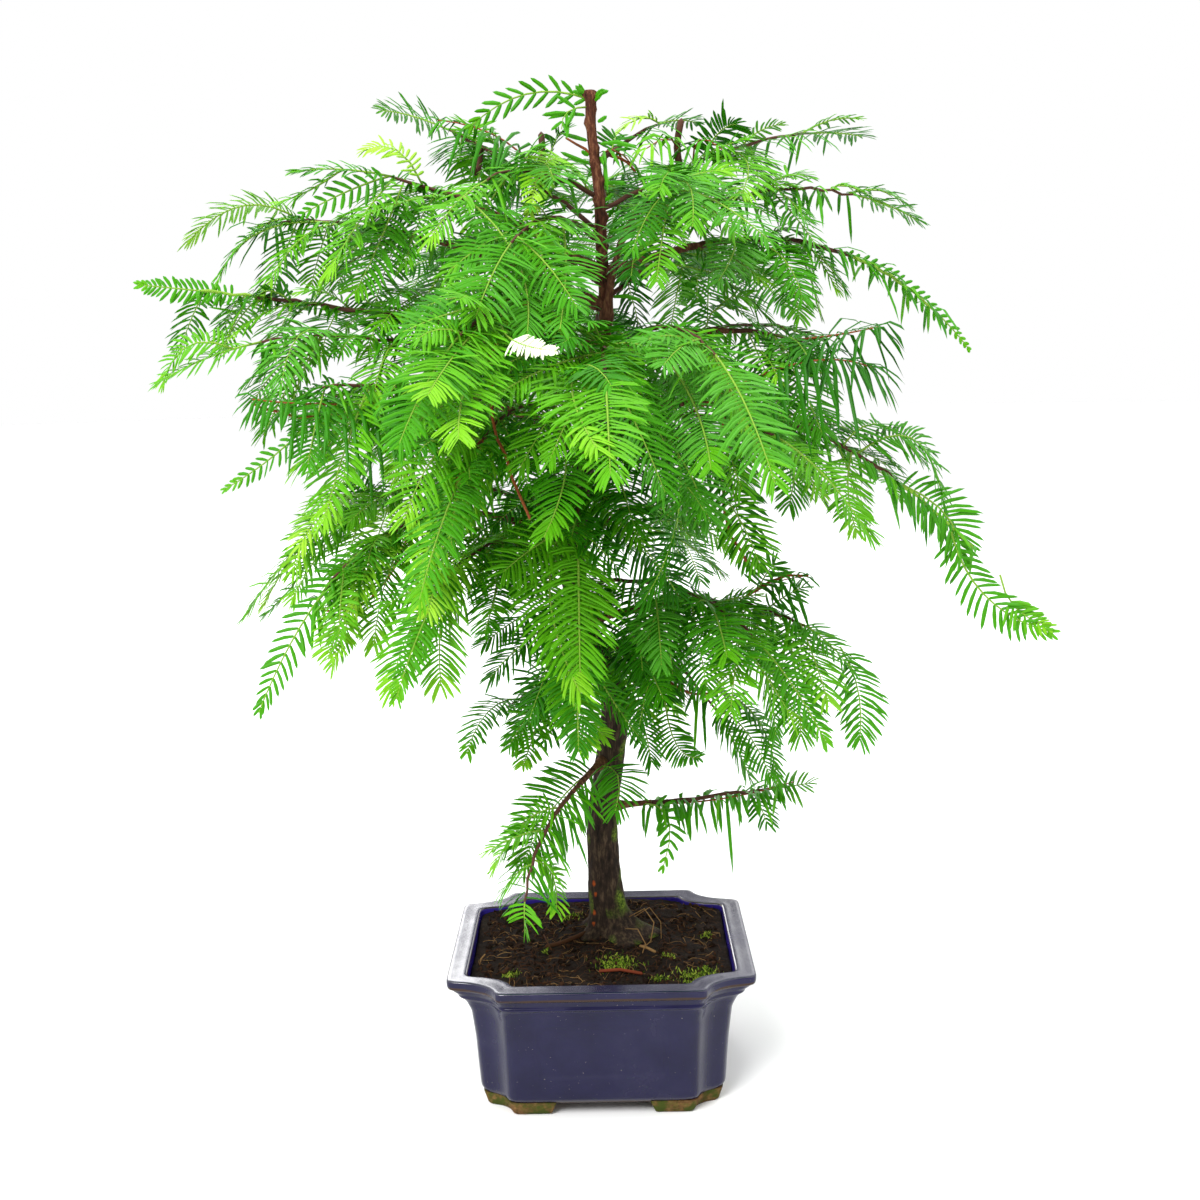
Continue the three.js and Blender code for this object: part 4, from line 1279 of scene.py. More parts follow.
def tube(bm, rings):
    """A skin drawn out through rings of points, closed with a face at each end."""
    ring, edges = start_ring(bm, rings[0])
    bmesh.ops.contextual_create(bm, geom=edges)
    for points in rings[1:]:
        ring, edges = draw_out(bm, ring, edges, points)
    bmesh.ops.contextual_create(bm, geom=edges)


def ring_piece(name, bm, look):
    """A piece from a mesh made in millimetres, with its faces turned outwards and its ends flat."""
    bmesh.ops.recalc_face_normals(bm, faces=bm.faces)
    bmesh.ops.transform(bm, matrix=TO_PART, verts=bm.verts)
    for face in bm.faces:
        face.smooth = len(face.verts) < 5
    mesh = bpy.data.meshes.new(name)
    bm.to_mesh(mesh)
    bm.free()
    mesh.materials.append(look)
    return place_piece(name, mesh)


def noise_at(x, y, z, scale, seed):
    """Smooth noise from -1 to 1 whose lumps are about a scale in size."""
    return noise.noise(Vector((x / scale + seed, y / scale - seed, z / scale + 2 * seed)))


def smooth_step(value, low, high):
    share = np.clip((np.asarray(value, float) - low) / (high - low), 0, 1)
    return share * share * (3 - 2 * share)


def bell(off, half):
    """1 in the middle of something, and fading on both sides of it."""
    return math.exp(-(off / half) ** 2)


# ---------------------------------------------------------------- pot

FRONT_STEPS = 84            # faces along the front's stretch, along the side's, and in a notch
SIDE_STEPS = 72
NOTCH_STEPS = 26
CORNER_ROUNDS = (9, 30)     # passes that round the corners of the outline, at the rim and below it
LIP_EDGE = 66.4             # height of the rim's lower outer edge
LEDGE = 61.4                # height of the ledge under the recessed band
ROUNDS_SPAN = (LEDGE - 4, LIP_EDGE)   # where the rounding of the corners goes over to the rim's
BAND_DEPTH = 1.0
BAND_SLOPES = (0.7, 1.6)    # over which heights its upper and its lower edge slope in
LEDGE_BEAD, BEAD_DROP, BEAD_HALF = 0.5, 0.4, 0.8   # how thick it is, how far down and how high
PANEL_HALF = {"front": 32.5, "side": 27}
PANEL_LOW, PANEL_HIGH = 22.4, 50
PANEL_CORNER = 4
PANEL_DEPTH = 0.5
PANEL_CLEAR = 8             # the panels stay this far from the notches
PANEL_EDGE = (-1.2, 1.0)    # where round its outline the panel sinks
BODY_FROM, BODY_TOP, BODY_STEP = 7.9, 57, 1.15   # the wall's rings stand this far apart up to there
BAND_TOP, BAND_STEP = 70.3, 0.42   # and this far apart above it
WALL_ROUNDING, WALL_SAMPLES = 1.6, 9   # the wall's profile is averaged over this much above and below
FOOT_UNDERCUT, UNDERCUT_RISE = 1.6, 3.2   # how far the wall draws in at its lower edge
BASE_SHARE, BASE_EDGE = 0.97, 0.15   # the base's size as a share of the wall's, and its round edge
INNER_TOP, INNER_RINGS = 69, 12
FLAT_WITHIN = 1             # a point this near to a flat wall lies on it
# The rim over the top, from its outer edge inwards: how far in, and the height.
RIM_PROFILE = ((0.12, 70.55), (0.5, 70.85), (1.1, POT_HEIGHT), (2.2, 71), (4.6, 70.9), (7.4, 70.9),
               (8.9, 70.95), (9.6, 70.85), (10.2, 70.5), (RIM_WIDTH, 69.9))


def pot_outline(inset_x, inset_y, flat_inset, rounds=CORNER_ROUNDS[0]):
    """The pot's outline, set in from the rim: straight stretches between concave notches."""
    half_x, half_y = POT_RIM_HALF[0] - inset_x, POT_RIM_HALF[1] - inset_y
    flat_x = POT_FLAT_HALF[0] - inset_x * FRONT_FLAT_TAPER - flat_inset
    flat_y = POT_FLAT_HALF[1] - inset_x * SIDE_FLAT_TAPER - flat_inset
    notches = []
    for sign_x, sign_y in ((1, 1), (-1, 1), (-1, -1), (1, -1)):
        turn = np.linspace(0, math.pi / 2, NOTCH_STEPS + 1)[::sign_x * sign_y]
        notches.append(np.stack((sign_x * (half_x - (half_x - flat_x) * np.sin(turn)),
                                 sign_y * (half_y - (half_y - flat_y) * np.cos(turn))), axis=1))
    outline = []
    for corner, notch in enumerate(notches):
        after = notches[(corner + 1) % 4][0]
        count = FRONT_STEPS if corner % 2 == 0 else SIDE_STEPS
        share = np.linspace(0, 1, count + 1)[1:-1, None]
        outline += [notch, notch[-1] + (after - notch[-1]) * share]
    outline = np.concatenate(outline)
    for _ in range(rounds):
        outline = (np.roll(outline, 1, axis=0) + 2 * outline + np.roll(outline, -1, axis=0)) / 4
    return outline


def wall_inset(height):
    """How far the outer wall is set in at a height, in x and in y, with its ledge and band."""
    around = height + np.linspace(-WALL_ROUNDING, WALL_ROUNDING, WALL_SAMPLES)
    x, y = (np.interp(around, POT_WALL[:, 0], POT_WALL[:, column]).mean() for column in (1, 2))
    above, below = BAND_SLOPES
    band = BAND_DEPTH * smooth_step(LIP_EDGE - height, 0, above) * smooth_step(height, LEDGE, LEDGE + below)
    bead = LEDGE_BEAD * bell(height - LEDGE + BEAD_DROP, BEAD_HALF)
    foot = FOOT_UNDERCUT * (1 - smooth_step(height, FOOT_HEIGHT, FOOT_HEIGHT + UNDERCUT_RISE))
    return x + band - bead + foot, y + band - bead + foot


def panel_depth(along, height, half):
    """How deep the faint panel is sunk at a place on a wall."""
    middle = (PANEL_LOW + PANEL_HIGH) / 2
    out_x = np.maximum(np.abs(along) - half + PANEL_CORNER, 0)
    out_z = max(abs(height - middle) - (PANEL_HIGH - PANEL_LOW) / 2 + PANEL_CORNER, 0)
    outside = np.hypot(out_x, out_z) - PANEL_CORNER
    return PANEL_DEPTH * (1 - smooth_step(outside, *PANEL_EDGE))


def outer_ring(height):
    inset_x, inset_y = wall_inset(height)
    rounds = round(np.interp(height, ROUNDS_SPAN, CORNER_ROUNDS[::-1]))
    outline = pot_outline(inset_x, inset_y, 0, rounds)
    flat_x, flat_y = (half - PANEL_CLEAR for half in POT_FLAT_HALF)
    x, y = outline[:, 0], outline[:, 1]
    sink_front = panel_depth(x, height, PANEL_HALF["front"]) * (np.abs(x) < flat_x)
    sink_side = panel_depth(y, height, PANEL_HALF["side"]) * (np.abs(y) < flat_y)
    on_front = np.abs(y) > POT_RIM_HALF[1] - inset_y - FLAT_WITHIN
    on_side = np.abs(x) > POT_RIM_HALF[0] - inset_x - FLAT_WITHIN
    sunk = outline.copy()
    sunk[:, 1] -= np.sign(y) * sink_front * on_front
    sunk[:, 0] -= np.sign(x) * sink_side * on_side
    return [(px, py, height) for px, py in sunk.tolist()]


def flat_ring(inset, height, flat_inset):
    return [(x, y, height) for x, y in pot_outline(inset, inset, flat_inset).tolist()]


# Colours are in display levels. In a pattern each stands behind the share at which it comes in.
BLUE_GLAZE = (12, 11, 50)
GLAZE_CLOUD = ((0.3, (14, 12, 46)), (0.55, (22, 20, 56)), (0.75, (34, 32, 62)))
SPECK, THIN_GLAZE, INNER_GLAZE = (120, 112, 110), (52, 34, 24), (50, 38, 132)
SPECK_SPAN, THIN_SPAN, CLOUD_SPAN = (0.74, 0.78), (0.12, 0.5), (0.3, 0.7)
WALL_SHINE, RIM_SHINE = 0.3, 1.0
CLOUD_ROUGHNESS = (0.14, 0.3)


def glaze():
    made, tree, shader = material("glaze", BLUE_GLAZE, 0.16, WALL_SHINE)
    place = object_place(tree)
    cloud = pattern(tree, place, 38, 5, 0.55)
    body = colour_ramp(tree, cloud, *GLAZE_CLOUD)
    speck = steps(tree, pattern(tree, place, 900, 2, 0.5), *SPECK_SPAN)
    specked = mixed(tree, speck, body, rgba(*SPECK))
    thin = steps(tree, attribute(tree, "thin"), *THIN_SPAN)
    brown = mixed(tree, thin, specked, rgba(*THIN_GLAZE))
    inside = mixed(tree, attribute(tree, "inside"), brown, rgba(*INNER_GLAZE))
    tree.links.new(inside, shader.inputs["Base Color"])
    shine = steps(tree, attribute(tree, "top"), 0, 1, WALL_SHINE, RIM_SHINE)
    tree.links.new(shine, shader.inputs["Specular IOR Level"])
    rough = steps(tree, cloud, *CLOUD_SPAN, *CLOUD_ROUGHNESS)
    tree.links.new(rough, shader.inputs["Roughness"])
    height = pattern(tree, object_place(tree, (1, 1, 0.6)), 160, 3, 0.5)
    add_bump(tree, shader, height, 0.12, 0.0006)
    return made


BARE_CLAY, CLAY_STAIN = (120, 92, 54), (62, 72, 22)
CLAY_GRAIN = ((0.3, (66, 46, 24)), (0.6, (118, 88, 52)), (0.8, (150, 116, 76)))


def clay():
    made, tree, shader = material("bare_clay", BARE_CLAY, 0.85, 0.15)
    place = object_place(tree)
    grain = pattern(tree, place, 420, 4, 0.7)
    body = colour_ramp(tree, grain, *CLAY_GRAIN)
    green = steps(tree, pattern(tree, place, 90, 4, 0.65), 0.44, 0.58)
    stained = mixed(tree, green, body, rgba(*CLAY_STAIN))
    tree.links.new(stained, shader.inputs["Base Color"])
    add_bump(tree, shader, grain, 0.5, 0.0006)
    return made


WALL_SWELL, SWELL_SIZE = 0.14, 16   # how uneven the wall is
WALL_SPAN = (FOOT_HEIGHT + 2, 70)
INSIDE_TOP = 70.2
RIM_TOP = 70.4
THIN_HALF, THIN_RISE = (0.9, 0.5, 1.1), 0.3   # how far from each of its edges the glaze runs thin
THIN_LEVEL, THIN_WAVER, WAVER_SIZE = 0.75, 0.6, 9


def thin_share(x, y, z, is_inner, on_wall):
    """How thin the glaze runs at a place: along the rim's lower edge, its inner edge and the foot."""
    lip, rim, foot = THIN_HALF
    lip_edge = bell(z - LIP_EDGE - THIN_RISE, lip) if on_wall else 0
    inner_edge = bell(z - RIM_TOP, rim) * is_inner
    foot_edge = bell(z - FOOT_HEIGHT, foot)
    waver = THIN_LEVEL + THIN_WAVER * noise_at(x, y, z, WAVER_SIZE, 3)
    return min(1, max(lip_edge, inner_edge, foot_edge) * waver)


def pot():
    body_heights = np.arange(BODY_FROM, BODY_TOP, BODY_STEP)
    band_heights = np.arange(BODY_TOP, BAND_TOP, BAND_STEP)
    rings = [[(x * BASE_SHARE, y * BASE_SHARE, FOOT_HEIGHT) for x, y, _ in outer_ring(FOOT_HEIGHT)]]
    rings.append(outer_ring(FOOT_HEIGHT + BASE_EDGE))
    rings += [outer_ring(height) for height in (*body_heights, *band_heights)]
    rings += [flat_ring(inset, height, inset * INNER_NOTCH) for inset, height in RIM_PROFILE]
    for height in np.linspace(INNER_TOP, FLOOR_TOP, INNER_RINGS):
        lean = max(0, SOIL_EDGE - height) / (SOIL_EDGE - FLOOR_TOP)
        rings.append([(x, y, height) for x, y in pot_outline(
            RIM_WIDTH + INNER_LEAN[0] * lean, RIM_WIDTH + INNER_LEAN[1] * lean,
            RIM_WIDTH * INNER_NOTCH).tolist()])
    bm = bmesh.new()
    layers = [bm.verts.layers.float.new(name) for name in ("thin", "inside", "top")]
    tube(bm, rings)
    first_inner = len(rings[0]) * (len(rings) - INNER_RINGS - 2)
    for index, vert in enumerate(bm.verts):
        x, y, z = vert.co
        is_inner = index >= first_inner
        on_wall = WALL_SPAN[0] < z < WALL_SPAN[1] and not is_inner
        shares = (thin_share(x, y, z, is_inner, on_wall), is_inner and z < INSIDE_TOP, z > RIM_TOP)
        for layer, share in zip(layers, shares):
            vert[layer] = float(share)
        if on_wall:
            swell = WALL_SWELL * noise_at(x, y, z, SWELL_SIZE, 1)
            vert.co.x += swell * (x / POT_RIM_HALF[0])
            vert.co.y += swell * (y / POT_RIM_HALF[1])
    piece = ring_piece("glazed_pot", bm, glaze())
    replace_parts(piece, "pot")


FOOT_WORN_INSET, FOOT_WORN = (20.2, 11.2, 1), 1.0   # the rounded edge on the ground, and its height
FOOT_IN_POT = 0.6           # how far the feet go up into the pot
FOOT_NOTCH_CLEAR = 0.5      # how far from a foot's ends the points of its notch begin


def feet():
    """Four feet under the corners, each round its corner's notch and slanted at its two ends."""
    top = FOOT_HEIGHT + FOOT_IN_POT
    bm = bmesh.new()
    for sign_x, sign_y in ((1, 1), (-1, 1), (-1, -1), (1, -1)):
        rings = []
        levels = ((top, FOOT_TOP_INSET, 0), (FOOT_WORN, FOOT_GROUND_INSET, 0),
                  (0, FOOT_WORN_INSET, FOOT_WORN))
        for height, inset, worn in levels:
            gap = FOOT_GAP_HALF + FOOT_SLANT * (1 - height / top) + worn
            corner = []
            for (inset_x, inset_y, flat_inset), back in ((inset, False), (FOOT_INNER_INSET, True)):
                outline = pot_outline(inset_x, inset_y, flat_inset)
                x, y = outline[:, 0] * sign_x, outline[:, 1] * sign_y
                kept = outline[np.minimum(x, y) > gap + FOOT_NOTCH_CLEAR]
                first = np.array((POT_RIM_HALF[0] - inset_x, gap)) * (sign_x, sign_y)
                last = np.array((gap, POT_RIM_HALF[1] - inset_y)) * (sign_x, sign_y)
                order = kept[np.argsort(np.arctan2(kept[:, 1] * sign_y, kept[:, 0] * sign_x))]
                arc = np.concatenate((first[None], order, last[None]))
                corner.append(arc[::-1] if back else arc)
            rings.append((height, np.concatenate(corner)))
        count = min(len(points) for _, points in rings)
        even = []
        for height, points in rings:
            walk = np.concatenate((points, points[:1]))
            along = np.concatenate(((0,), np.cumsum(np.linalg.norm(np.diff(walk, axis=0), axis=1))))
            at = np.linspace(0, along[-1], count + 1)[:-1]
            even.append([(np.interp(d, along, walk[:, 0]), np.interp(d, along, walk[:, 1]), height)
                         for d in at])
        tube(bm, even)
    piece = ring_piece("clay_feet", bm, clay())
    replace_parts(piece, "pot")


# ---------------------------------------------------------------- soil

SOIL_RINGS = 46
SOIL_TOP = 71.9             # height of the soil at the trunk
SOIL_MIDDLE = (6, 12)
SOIL_BACK_RISE = 3.0
SOIL_BACK = (0, 52)         # from where to where in y it rises to that
MOUND_RADIUS = 34
SMOOTH_RADIUS, SMOOTHED = 18, 0.5   # this far round the trunk the lumps are lower by that share
SOIL_LIFT = 0.3             # of the dressed soil over the solid one
SOIL_GAP = 0.9              # between the soil and the pot's wall
SOIL_BOTTOM, SOIL_SIDE = 58, 62
# The lumps and crumbs: height, size and seed of each layer of noise.
LUMPS = ((1.3, 17, 5), (0.9, 6.5, 6))
CRUMBS = ((0.55, 2.6, 7), (0.3, 1.3, 8))


def soil_height(x, y):
    """The soil's height: mounded to the trunk, and lumpy."""
    away = math.hypot(x - SOIL_MIDDLE[0], y - SOIL_MIDDLE[1])
    mound = (SOIL_TOP - SOIL_EDGE) * bell(away, MOUND_RADIUS)
    lumps, crumbs = (sum(high * noise_at(x, y, 0, size, seed) for high, size, seed in layers)
                     for layers in (LUMPS, CRUMBS))
    back = SOIL_BACK_RISE * float(smooth_step(y, *SOIL_BACK))
    lumps *= SMOOTHED if away < SMOOTH_RADIUS else 1
    return SOIL_EDGE + SOIL_LIFT + mound + back + lumps + crumbs


PEAT, WET_PEAT = (40, 30, 20), (20, 12, 7)
PEAT_GRAIN = ((0.3, (10, 6, 3)), (0.5, (28, 18, 11)), (0.66, (52, 36, 24)), (0.8, (86, 66, 46)))


def peat():
    made, tree, shader = material("peat", PEAT, 0.95, 0.15)
    place = object_place(tree)
    grain = pattern(tree, place, 700, 5, 0.75)
    body = colour_ramp(tree, grain, *PEAT_GRAIN)
    dryness = steps(tree, pattern(tree, place, 60, 3, 0.6), 0.35, 0.65)
    toned = mixed(tree, dryness, rgba(*WET_PEAT), body)
    tree.links.new(toned, shader.inputs["Base Color"])
    add_bump(tree, shader, grain, 0.8, 0.0012)
    return made


def soil_ring(share):
    inset = RIM_WIDTH + SOIL_GAP
    outline = pot_outline(inset, inset, RIM_WIDTH * INNER_NOTCH)[::2]
    middle = np.array(SOIL_MIDDLE)
    return (middle + (outline - middle) * share).tolist()


def soil(brown):
    bm = bmesh.new()
    rings = [[(x, y, height) for x, y in soil_ring(1)] for height in (SOIL_BOTTOM, SOIL_SIDE)]
    for share in np.linspace(1, 0.02, SOIL_RINGS):
        rings.append([(x, y, soil_height(x, y)) for x, y in soil_ring(share)])
    tube(bm, rings)
    piece = ring_piece("peat_soil", bm, brown)
    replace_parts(piece, "soil")


LITTER_SEED, MOSS_SEED = 31, 32
SOIL_HALF = (66, 56)
CORNER_FROM, CORNER_SIZE, CORNER_KEPT = (47, 40), (19, 16), 0.9   # litter keeps out of the corners
CLODS, CLOD_SIZE = 900, (0.5, 1.8)
CLOD_TRIM, CLOD_STRETCH, CLOD_ROUGH, CLOD_RAISED = (0.5, 1), (0.6, 1.3), 0.25, 0.2
FIBRES = 1000
FIBRE_LENGTH = (3, 14)
FIBRE_RADIUS = (0.08, 0.2)
FIBRE_CURL, FIBRE_ARCH, FIBRE_RAISED = 1.4, 1.3, 0.15
FIBRE_POINTS, FIBRE_SIDES, BIT_SIDES = 5, 3, 6
MOSS_STALKS = 1500
STALK_LENGTH, STALK_WIDTH = (0.9, 2.4), 0.55
PATCH_SPREAD = 0.42         # of a patch's moss, as a share of its half width and half depth
STALK_LEAN, STALK_BEND, STALK_SUNK = 0.5, 0.25, 0.2
MOSS_PATCHES = (               # x, y and half the width and depth of each patch
    (8, -27, 13, 9), (36, -19, 4, 3), (52, -41, 14, 10), (-17, 31, 7, 4), (-47, -35, 5, 4),
    (16, 2, 5, 5), (-30, -8, 3, 3), (30, -44, 6, 4), (58, 10, 4, 3),
)
DRY_KINDS = {"fibre_brown": (66, 42, 26), "fibre_tan": (128, 98, 62), "bark_red": (112, 52, 32),
             "clod_brown": (58, 38, 24), "clod_dark": (26, 16, 9)}
BROWN, TAN, RED, CLOD, DARK = range(5)
MOSS_KINDS = {"moss_dark": (58, 78, 18), "moss_green": (98, 128, 30), "moss_light": (152, 170, 62)}
# Roots and bits that lie on the soil: points, radius and kind.
SOIL_BITS = (
    (((15, 6, 80), (24, 3, 86), (29, -2, 80), (27, -6, 71), (22, -8, 67)), 0.3, TAN),
    (((17, 9, 78), (27, 10, 84), (33, 6, 77), (33, 2, 69)), 0.25, TAN),
    (((12, 0, 76), (20, -6, 78), (24, -12, 72), (22, -16, 68)), 0.28, TAN),
    (((21, -10, 70), (25, -13, 70), (29, -16, 69)), 0.8, TAN),
    (((-1, -37, 68), (10, -39, 69.5), (21, -41, 68)), 0.9, RED),
    (((-32, 10, 69), (-30, 0, 70), (-27, -11, 69)), 0.45, BROWN),
    (((-7, 4, 73), (-14, 1, 71), (-22, -2, 69), (-30, -3, 67.5)), 1.3, BROWN),
    (((-65, -23, 66), (-64, -23, 70), (-62, -22, 72)), 0.4, TAN),
)


def in_pot(rng):
    """A random place on the soil."""
    while True:
        x, y = rng.uniform(-SOIL_HALF[0], SOIL_HALF[0]), rng.uniform(-SOIL_HALF[1], SOIL_HALF[1])
        corner = math.hypot(max(0, abs(x) - CORNER_FROM[0]) / CORNER_SIZE[0],
                            max(0, abs(y) - CORNER_FROM[1]) / CORNER_SIZE[1])
        if corner < CORNER_KEPT:
            return x, y


def clod_shape():
    """The points and triangles of a round lump."""
    bm = bmesh.new()
    bmesh.ops.create_icosphere(bm, subdivisions=1, radius=1)
    points = np.array([vert.co[:] for vert in bm.verts])
    faces = np.array([[vert.index for vert in face.verts] for face in bm.faces])
    bm.free()
    return points, faces


def litter():
    """Clods, fibres and roots on the soil."""
    rng = random.Random(LITTER_SEED)
    dry = [material(name, colour, 0.95, 0.1)[0] for name, colour in DRY_KINDS.items()]
    shape, shape_faces = clod_shape()
    points, faces, kinds = [], [], []
    for clod in range(CLODS):
        x, y = in_pot(rng)
        size = rng.uniform(*CLOD_SIZE) * rng.uniform(*CLOD_TRIM)
        stretch = np.array([rng.uniform(*CLOD_STRETCH) for _ in range(3)])
        rough = 1 + CLOD_ROUGH * np.array([[rng.uniform(-1, 1)] for _ in shape])
        middle = (x, y, soil_height(x, y) + CLOD_RAISED * size)
        points.append(shape * stretch * size * rough + middle)
        faces.append(shape_faces + clod * len(shape))
        kinds.append(np.full(len(shape_faces), rng.choice((CLOD, DARK, DARK))))
    arrays = tuple(np.concatenate(rows) for rows in (points, faces, kinds))
    clods = mesh_piece("soil_clods", arrays, dry)
    fibres = Twigs()
    for _ in range(FIBRES):
        x, y = in_pot(rng)
        turn, length = rng.uniform(0, 2 * math.pi), rng.uniform(*FIBRE_LENGTH)
        curl, height = rng.uniform(-FIBRE_CURL, FIBRE_CURL), rng.uniform(0, FIBRE_ARCH)
        course = []
        for step in range(FIBRE_POINTS):
            arch = height * math.sin(math.pi * step / (FIBRE_POINTS - 1))
            course.append((x, y, soil_height(x, y) + FIBRE_RAISED + arch))
            x += math.cos(turn) * length / FIBRE_POINTS
            y += math.sin(turn) * length / FIBRE_POINTS
            x = max(-SOIL_HALF[0], min(SOIL_HALF[0], x))
            y = max(-SOIL_HALF[1], min(SOIL_HALF[1], y))
            turn += curl / (FIBRE_POINTS - 1)
        fibres.add(course, rng.uniform(*FIBRE_RADIUS), rng.choice((BROWN, BROWN, BROWN, TAN)), FIBRE_SIDES)
    for course, radius, kind in SOIL_BITS:
        fibres.add(course, radius, kind, BIT_SIDES)
    bits = mesh_piece("soil_fibres", fibres.arrays(), dry, True)
    for piece in (clods, bits):
        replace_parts(piece, "soil")


def moss():
    """Short upright stalks of moss in patches."""
    rng = np.random.default_rng(MOSS_SEED)
    greens = [material(name, colour, 0.8, 0.1)[0] for name, colour in MOSS_KINDS.items()]
    stalks = Needles()
    areas = np.array([half_x * half_y for _, _, half_x, half_y in MOSS_PATCHES], float)
    for patch in rng.choice(len(MOSS_PATCHES), MOSS_STALKS, p=areas / areas.sum()):
        middle_x, middle_y, half_x, half_y = MOSS_PATCHES[patch]
        x = middle_x + half_x * rng.normal(0, PATCH_SPREAD)
        y = middle_y + half_y * rng.normal(0, PATCH_SPREAD)
        root = np.array([(x, y, soil_height(x, y) - STALK_SUNK)])
        course = unit(np.array([(rng.normal(0, STALK_LEAN), rng.normal(0, STALK_LEAN), 1)]))
        above = np.array([(rng.normal(), rng.normal(), 0.1)])
        bend = rng.normal(0, STALK_BEND, (1, 3))
        length = rng.uniform(*STALK_LENGTH)
        stalks.add(root, course, above, bend, length, STALK_WIDTH, int(rng.integers(len(greens))))
    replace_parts(mesh_piece("moss", stalks.arrays(), greens), "soil")


# ---------------------------------------------------------------- trunk and boughs

TRUNK_SIDES = 76
TRUNK_STEP = 1.7
BEND_ROUNDING, BEND_SAMPLES = 9, 7   # the trunk's course is averaged over this much above and below
BARK_DEPTH = 0.75
YOUNG_DEPTH, YOUNG_SPAN = 0.6, (260, 420)   # the share of it on young wood, and where that comes in
# The relief of the bark: size across and up, and depth, of its furrows, flakes and fine grain.
FURROWS, FLAKES, GRAIN = (3.6, 17, 1.3), (1.7, 5, 0.3), (0.9, 2, 0.14)
FURROW_MOST, FURROW_LEVEL = 0.35, 0.25


def smooth_trunk_at(height):
    """The trunk's centre and radius with its bends rounded."""
    around = height + np.linspace(-BEND_ROUNDING, BEND_ROUNDING, BEND_SAMPLES)
    centre, _ = trunk_at(np.clip(around, TRUNK[0, 0], TRUNK[-1, 0]))
    return centre.mean(axis=0), trunk_at(np.array([height]))[1][0]


def bark_relief(x, y, z, depth):
    """Long furrows between flaky ridges."""
    furrow, flake, fine = (
        noise.noise(Vector((x / across + shift_x, y / across + shift_y, z / up)))
        for (across, up, _), shift_x, shift_y in ((FURROWS, 0, 0), (FLAKES, 9, 0), (GRAIN, 0, 4)))
    furrow = FURROWS[2] * min(abs(furrow), FURROW_MOST) - FURROW_LEVEL
    return depth * (furrow + FLAKES[2] * flake + GRAIN[2] * fine)


KNOBS_FROM = 320            # above this height the leader is knobbly, from where shoots have been cut
KNOB_STEP, KNOB_SEED = 8.5, 21
KNOB_SIZE = (0.7, 1.7)
KNOB_HALF = (1.9, 0.7)      # half a knob's height in mm and its width in radians
KNOB_REACH = 6
KNOB_STRAY = (2, 0.9)       # how far a knob strays in height and round the leader
TIP_KNOBS = [(513, 0.1, 2.6), (514, 3.3, 1.8), (512, -1.2, 1.4)]
SLIM, SLIM_SPAN = 0.8, (300, 400)   # the leader's thickness as a share of the solid's, and from where
WAVE, WAVE_LENGTHS, WAVE_SPAN = 0.5, (9, 13), (300, 360)   # how it wavers, and from where
ROOT_SPREAD, SPREAD_FADE, SPREAD_TURN = 7, 6, 0.5   # how far the foot spreads out on its right


def leader_knobs():
    """Height, compass angle and size of each knob."""
    rng = random.Random(KNOB_SEED)
    heights = np.arange(KNOBS_FROM, TRUNK[-1, 0] - 1, KNOB_STEP)
    up, round_it = KNOB_STRAY
    return [(height + rng.uniform(-up, up), math.pi * (step % 2) + rng.uniform(-round_it, round_it),
             rng.uniform(*KNOB_SIZE)) for step, height in enumerate(heights)]


KNOBS = leader_knobs() + TIP_KNOBS


def knob_height(height, angle):
    total = 0
    for at, towards, size in KNOBS:
        if abs(height - at) < KNOB_REACH:
            turn = (angle - towards + math.pi) % (2 * math.pi) - math.pi
            total += size * math.exp(-((height - at) / KNOB_HALF[0]) ** 2 - (turn / KNOB_HALF[1]) ** 2)
    return total


def trunk_ring(height):
    centre, radius = smooth_trunk_at(height)
    radius *= 1 - (1 - SLIM) * smooth_step(height, *SLIM_SPAN)
    wave = np.array((math.sin(height / WAVE_LENGTHS[0]), math.cos(height / WAVE_LENGTHS[1])))
    centre = centre + wave * WAVE * float(smooth_step(height, *WAVE_SPAN))
    above_soil = height - TRUNK[0, 0]
    lobe = ROOT_LOBE_DEPTH * max(0.0, 1 - above_soil / ROOT_LOBE_FADE)
    depth = BARK_DEPTH * (YOUNG_DEPTH + (1 - YOUNG_DEPTH) * (1 - smooth_step(height, *YOUNG_SPAN)))
    spread = ROOT_SPREAD * math.exp(-above_soil / SPREAD_FADE)
    ring = []
    for angle in np.arange(TRUNK_SIDES) * 2 * math.pi / TRUNK_SIDES:
        reach = radius * (1 + lobe * math.cos(ROOT_LOBES * angle))
        x, y = centre[0] + reach * math.cos(angle), centre[1] + reach * math.sin(angle)
        reach += bark_relief(x, y, height, depth) + knob_height(height, angle)
        reach += spread * max(0, math.cos(angle + SPREAD_TURN)) ** 3
        ring.append((centre[0] + reach * math.cos(angle), centre[1] + reach * math.sin(angle),
                     height))
    return ring


OLD_BARK = ((20, 14, 10), (48, 36, 28), (92, 76, 58))
BOUGH_BARK = ((46, 28, 20), (98, 62, 44), (150, 108, 78))
YOUNG_BARK = ((0.32, (34, 18, 14)), (0.52, (88, 48, 34)), (0.72, (152, 104, 74)))
DARK_MOSS, LIGHT_MOSS, ORANGE = (44, 62, 14), (112, 136, 40), (168, 74, 22)


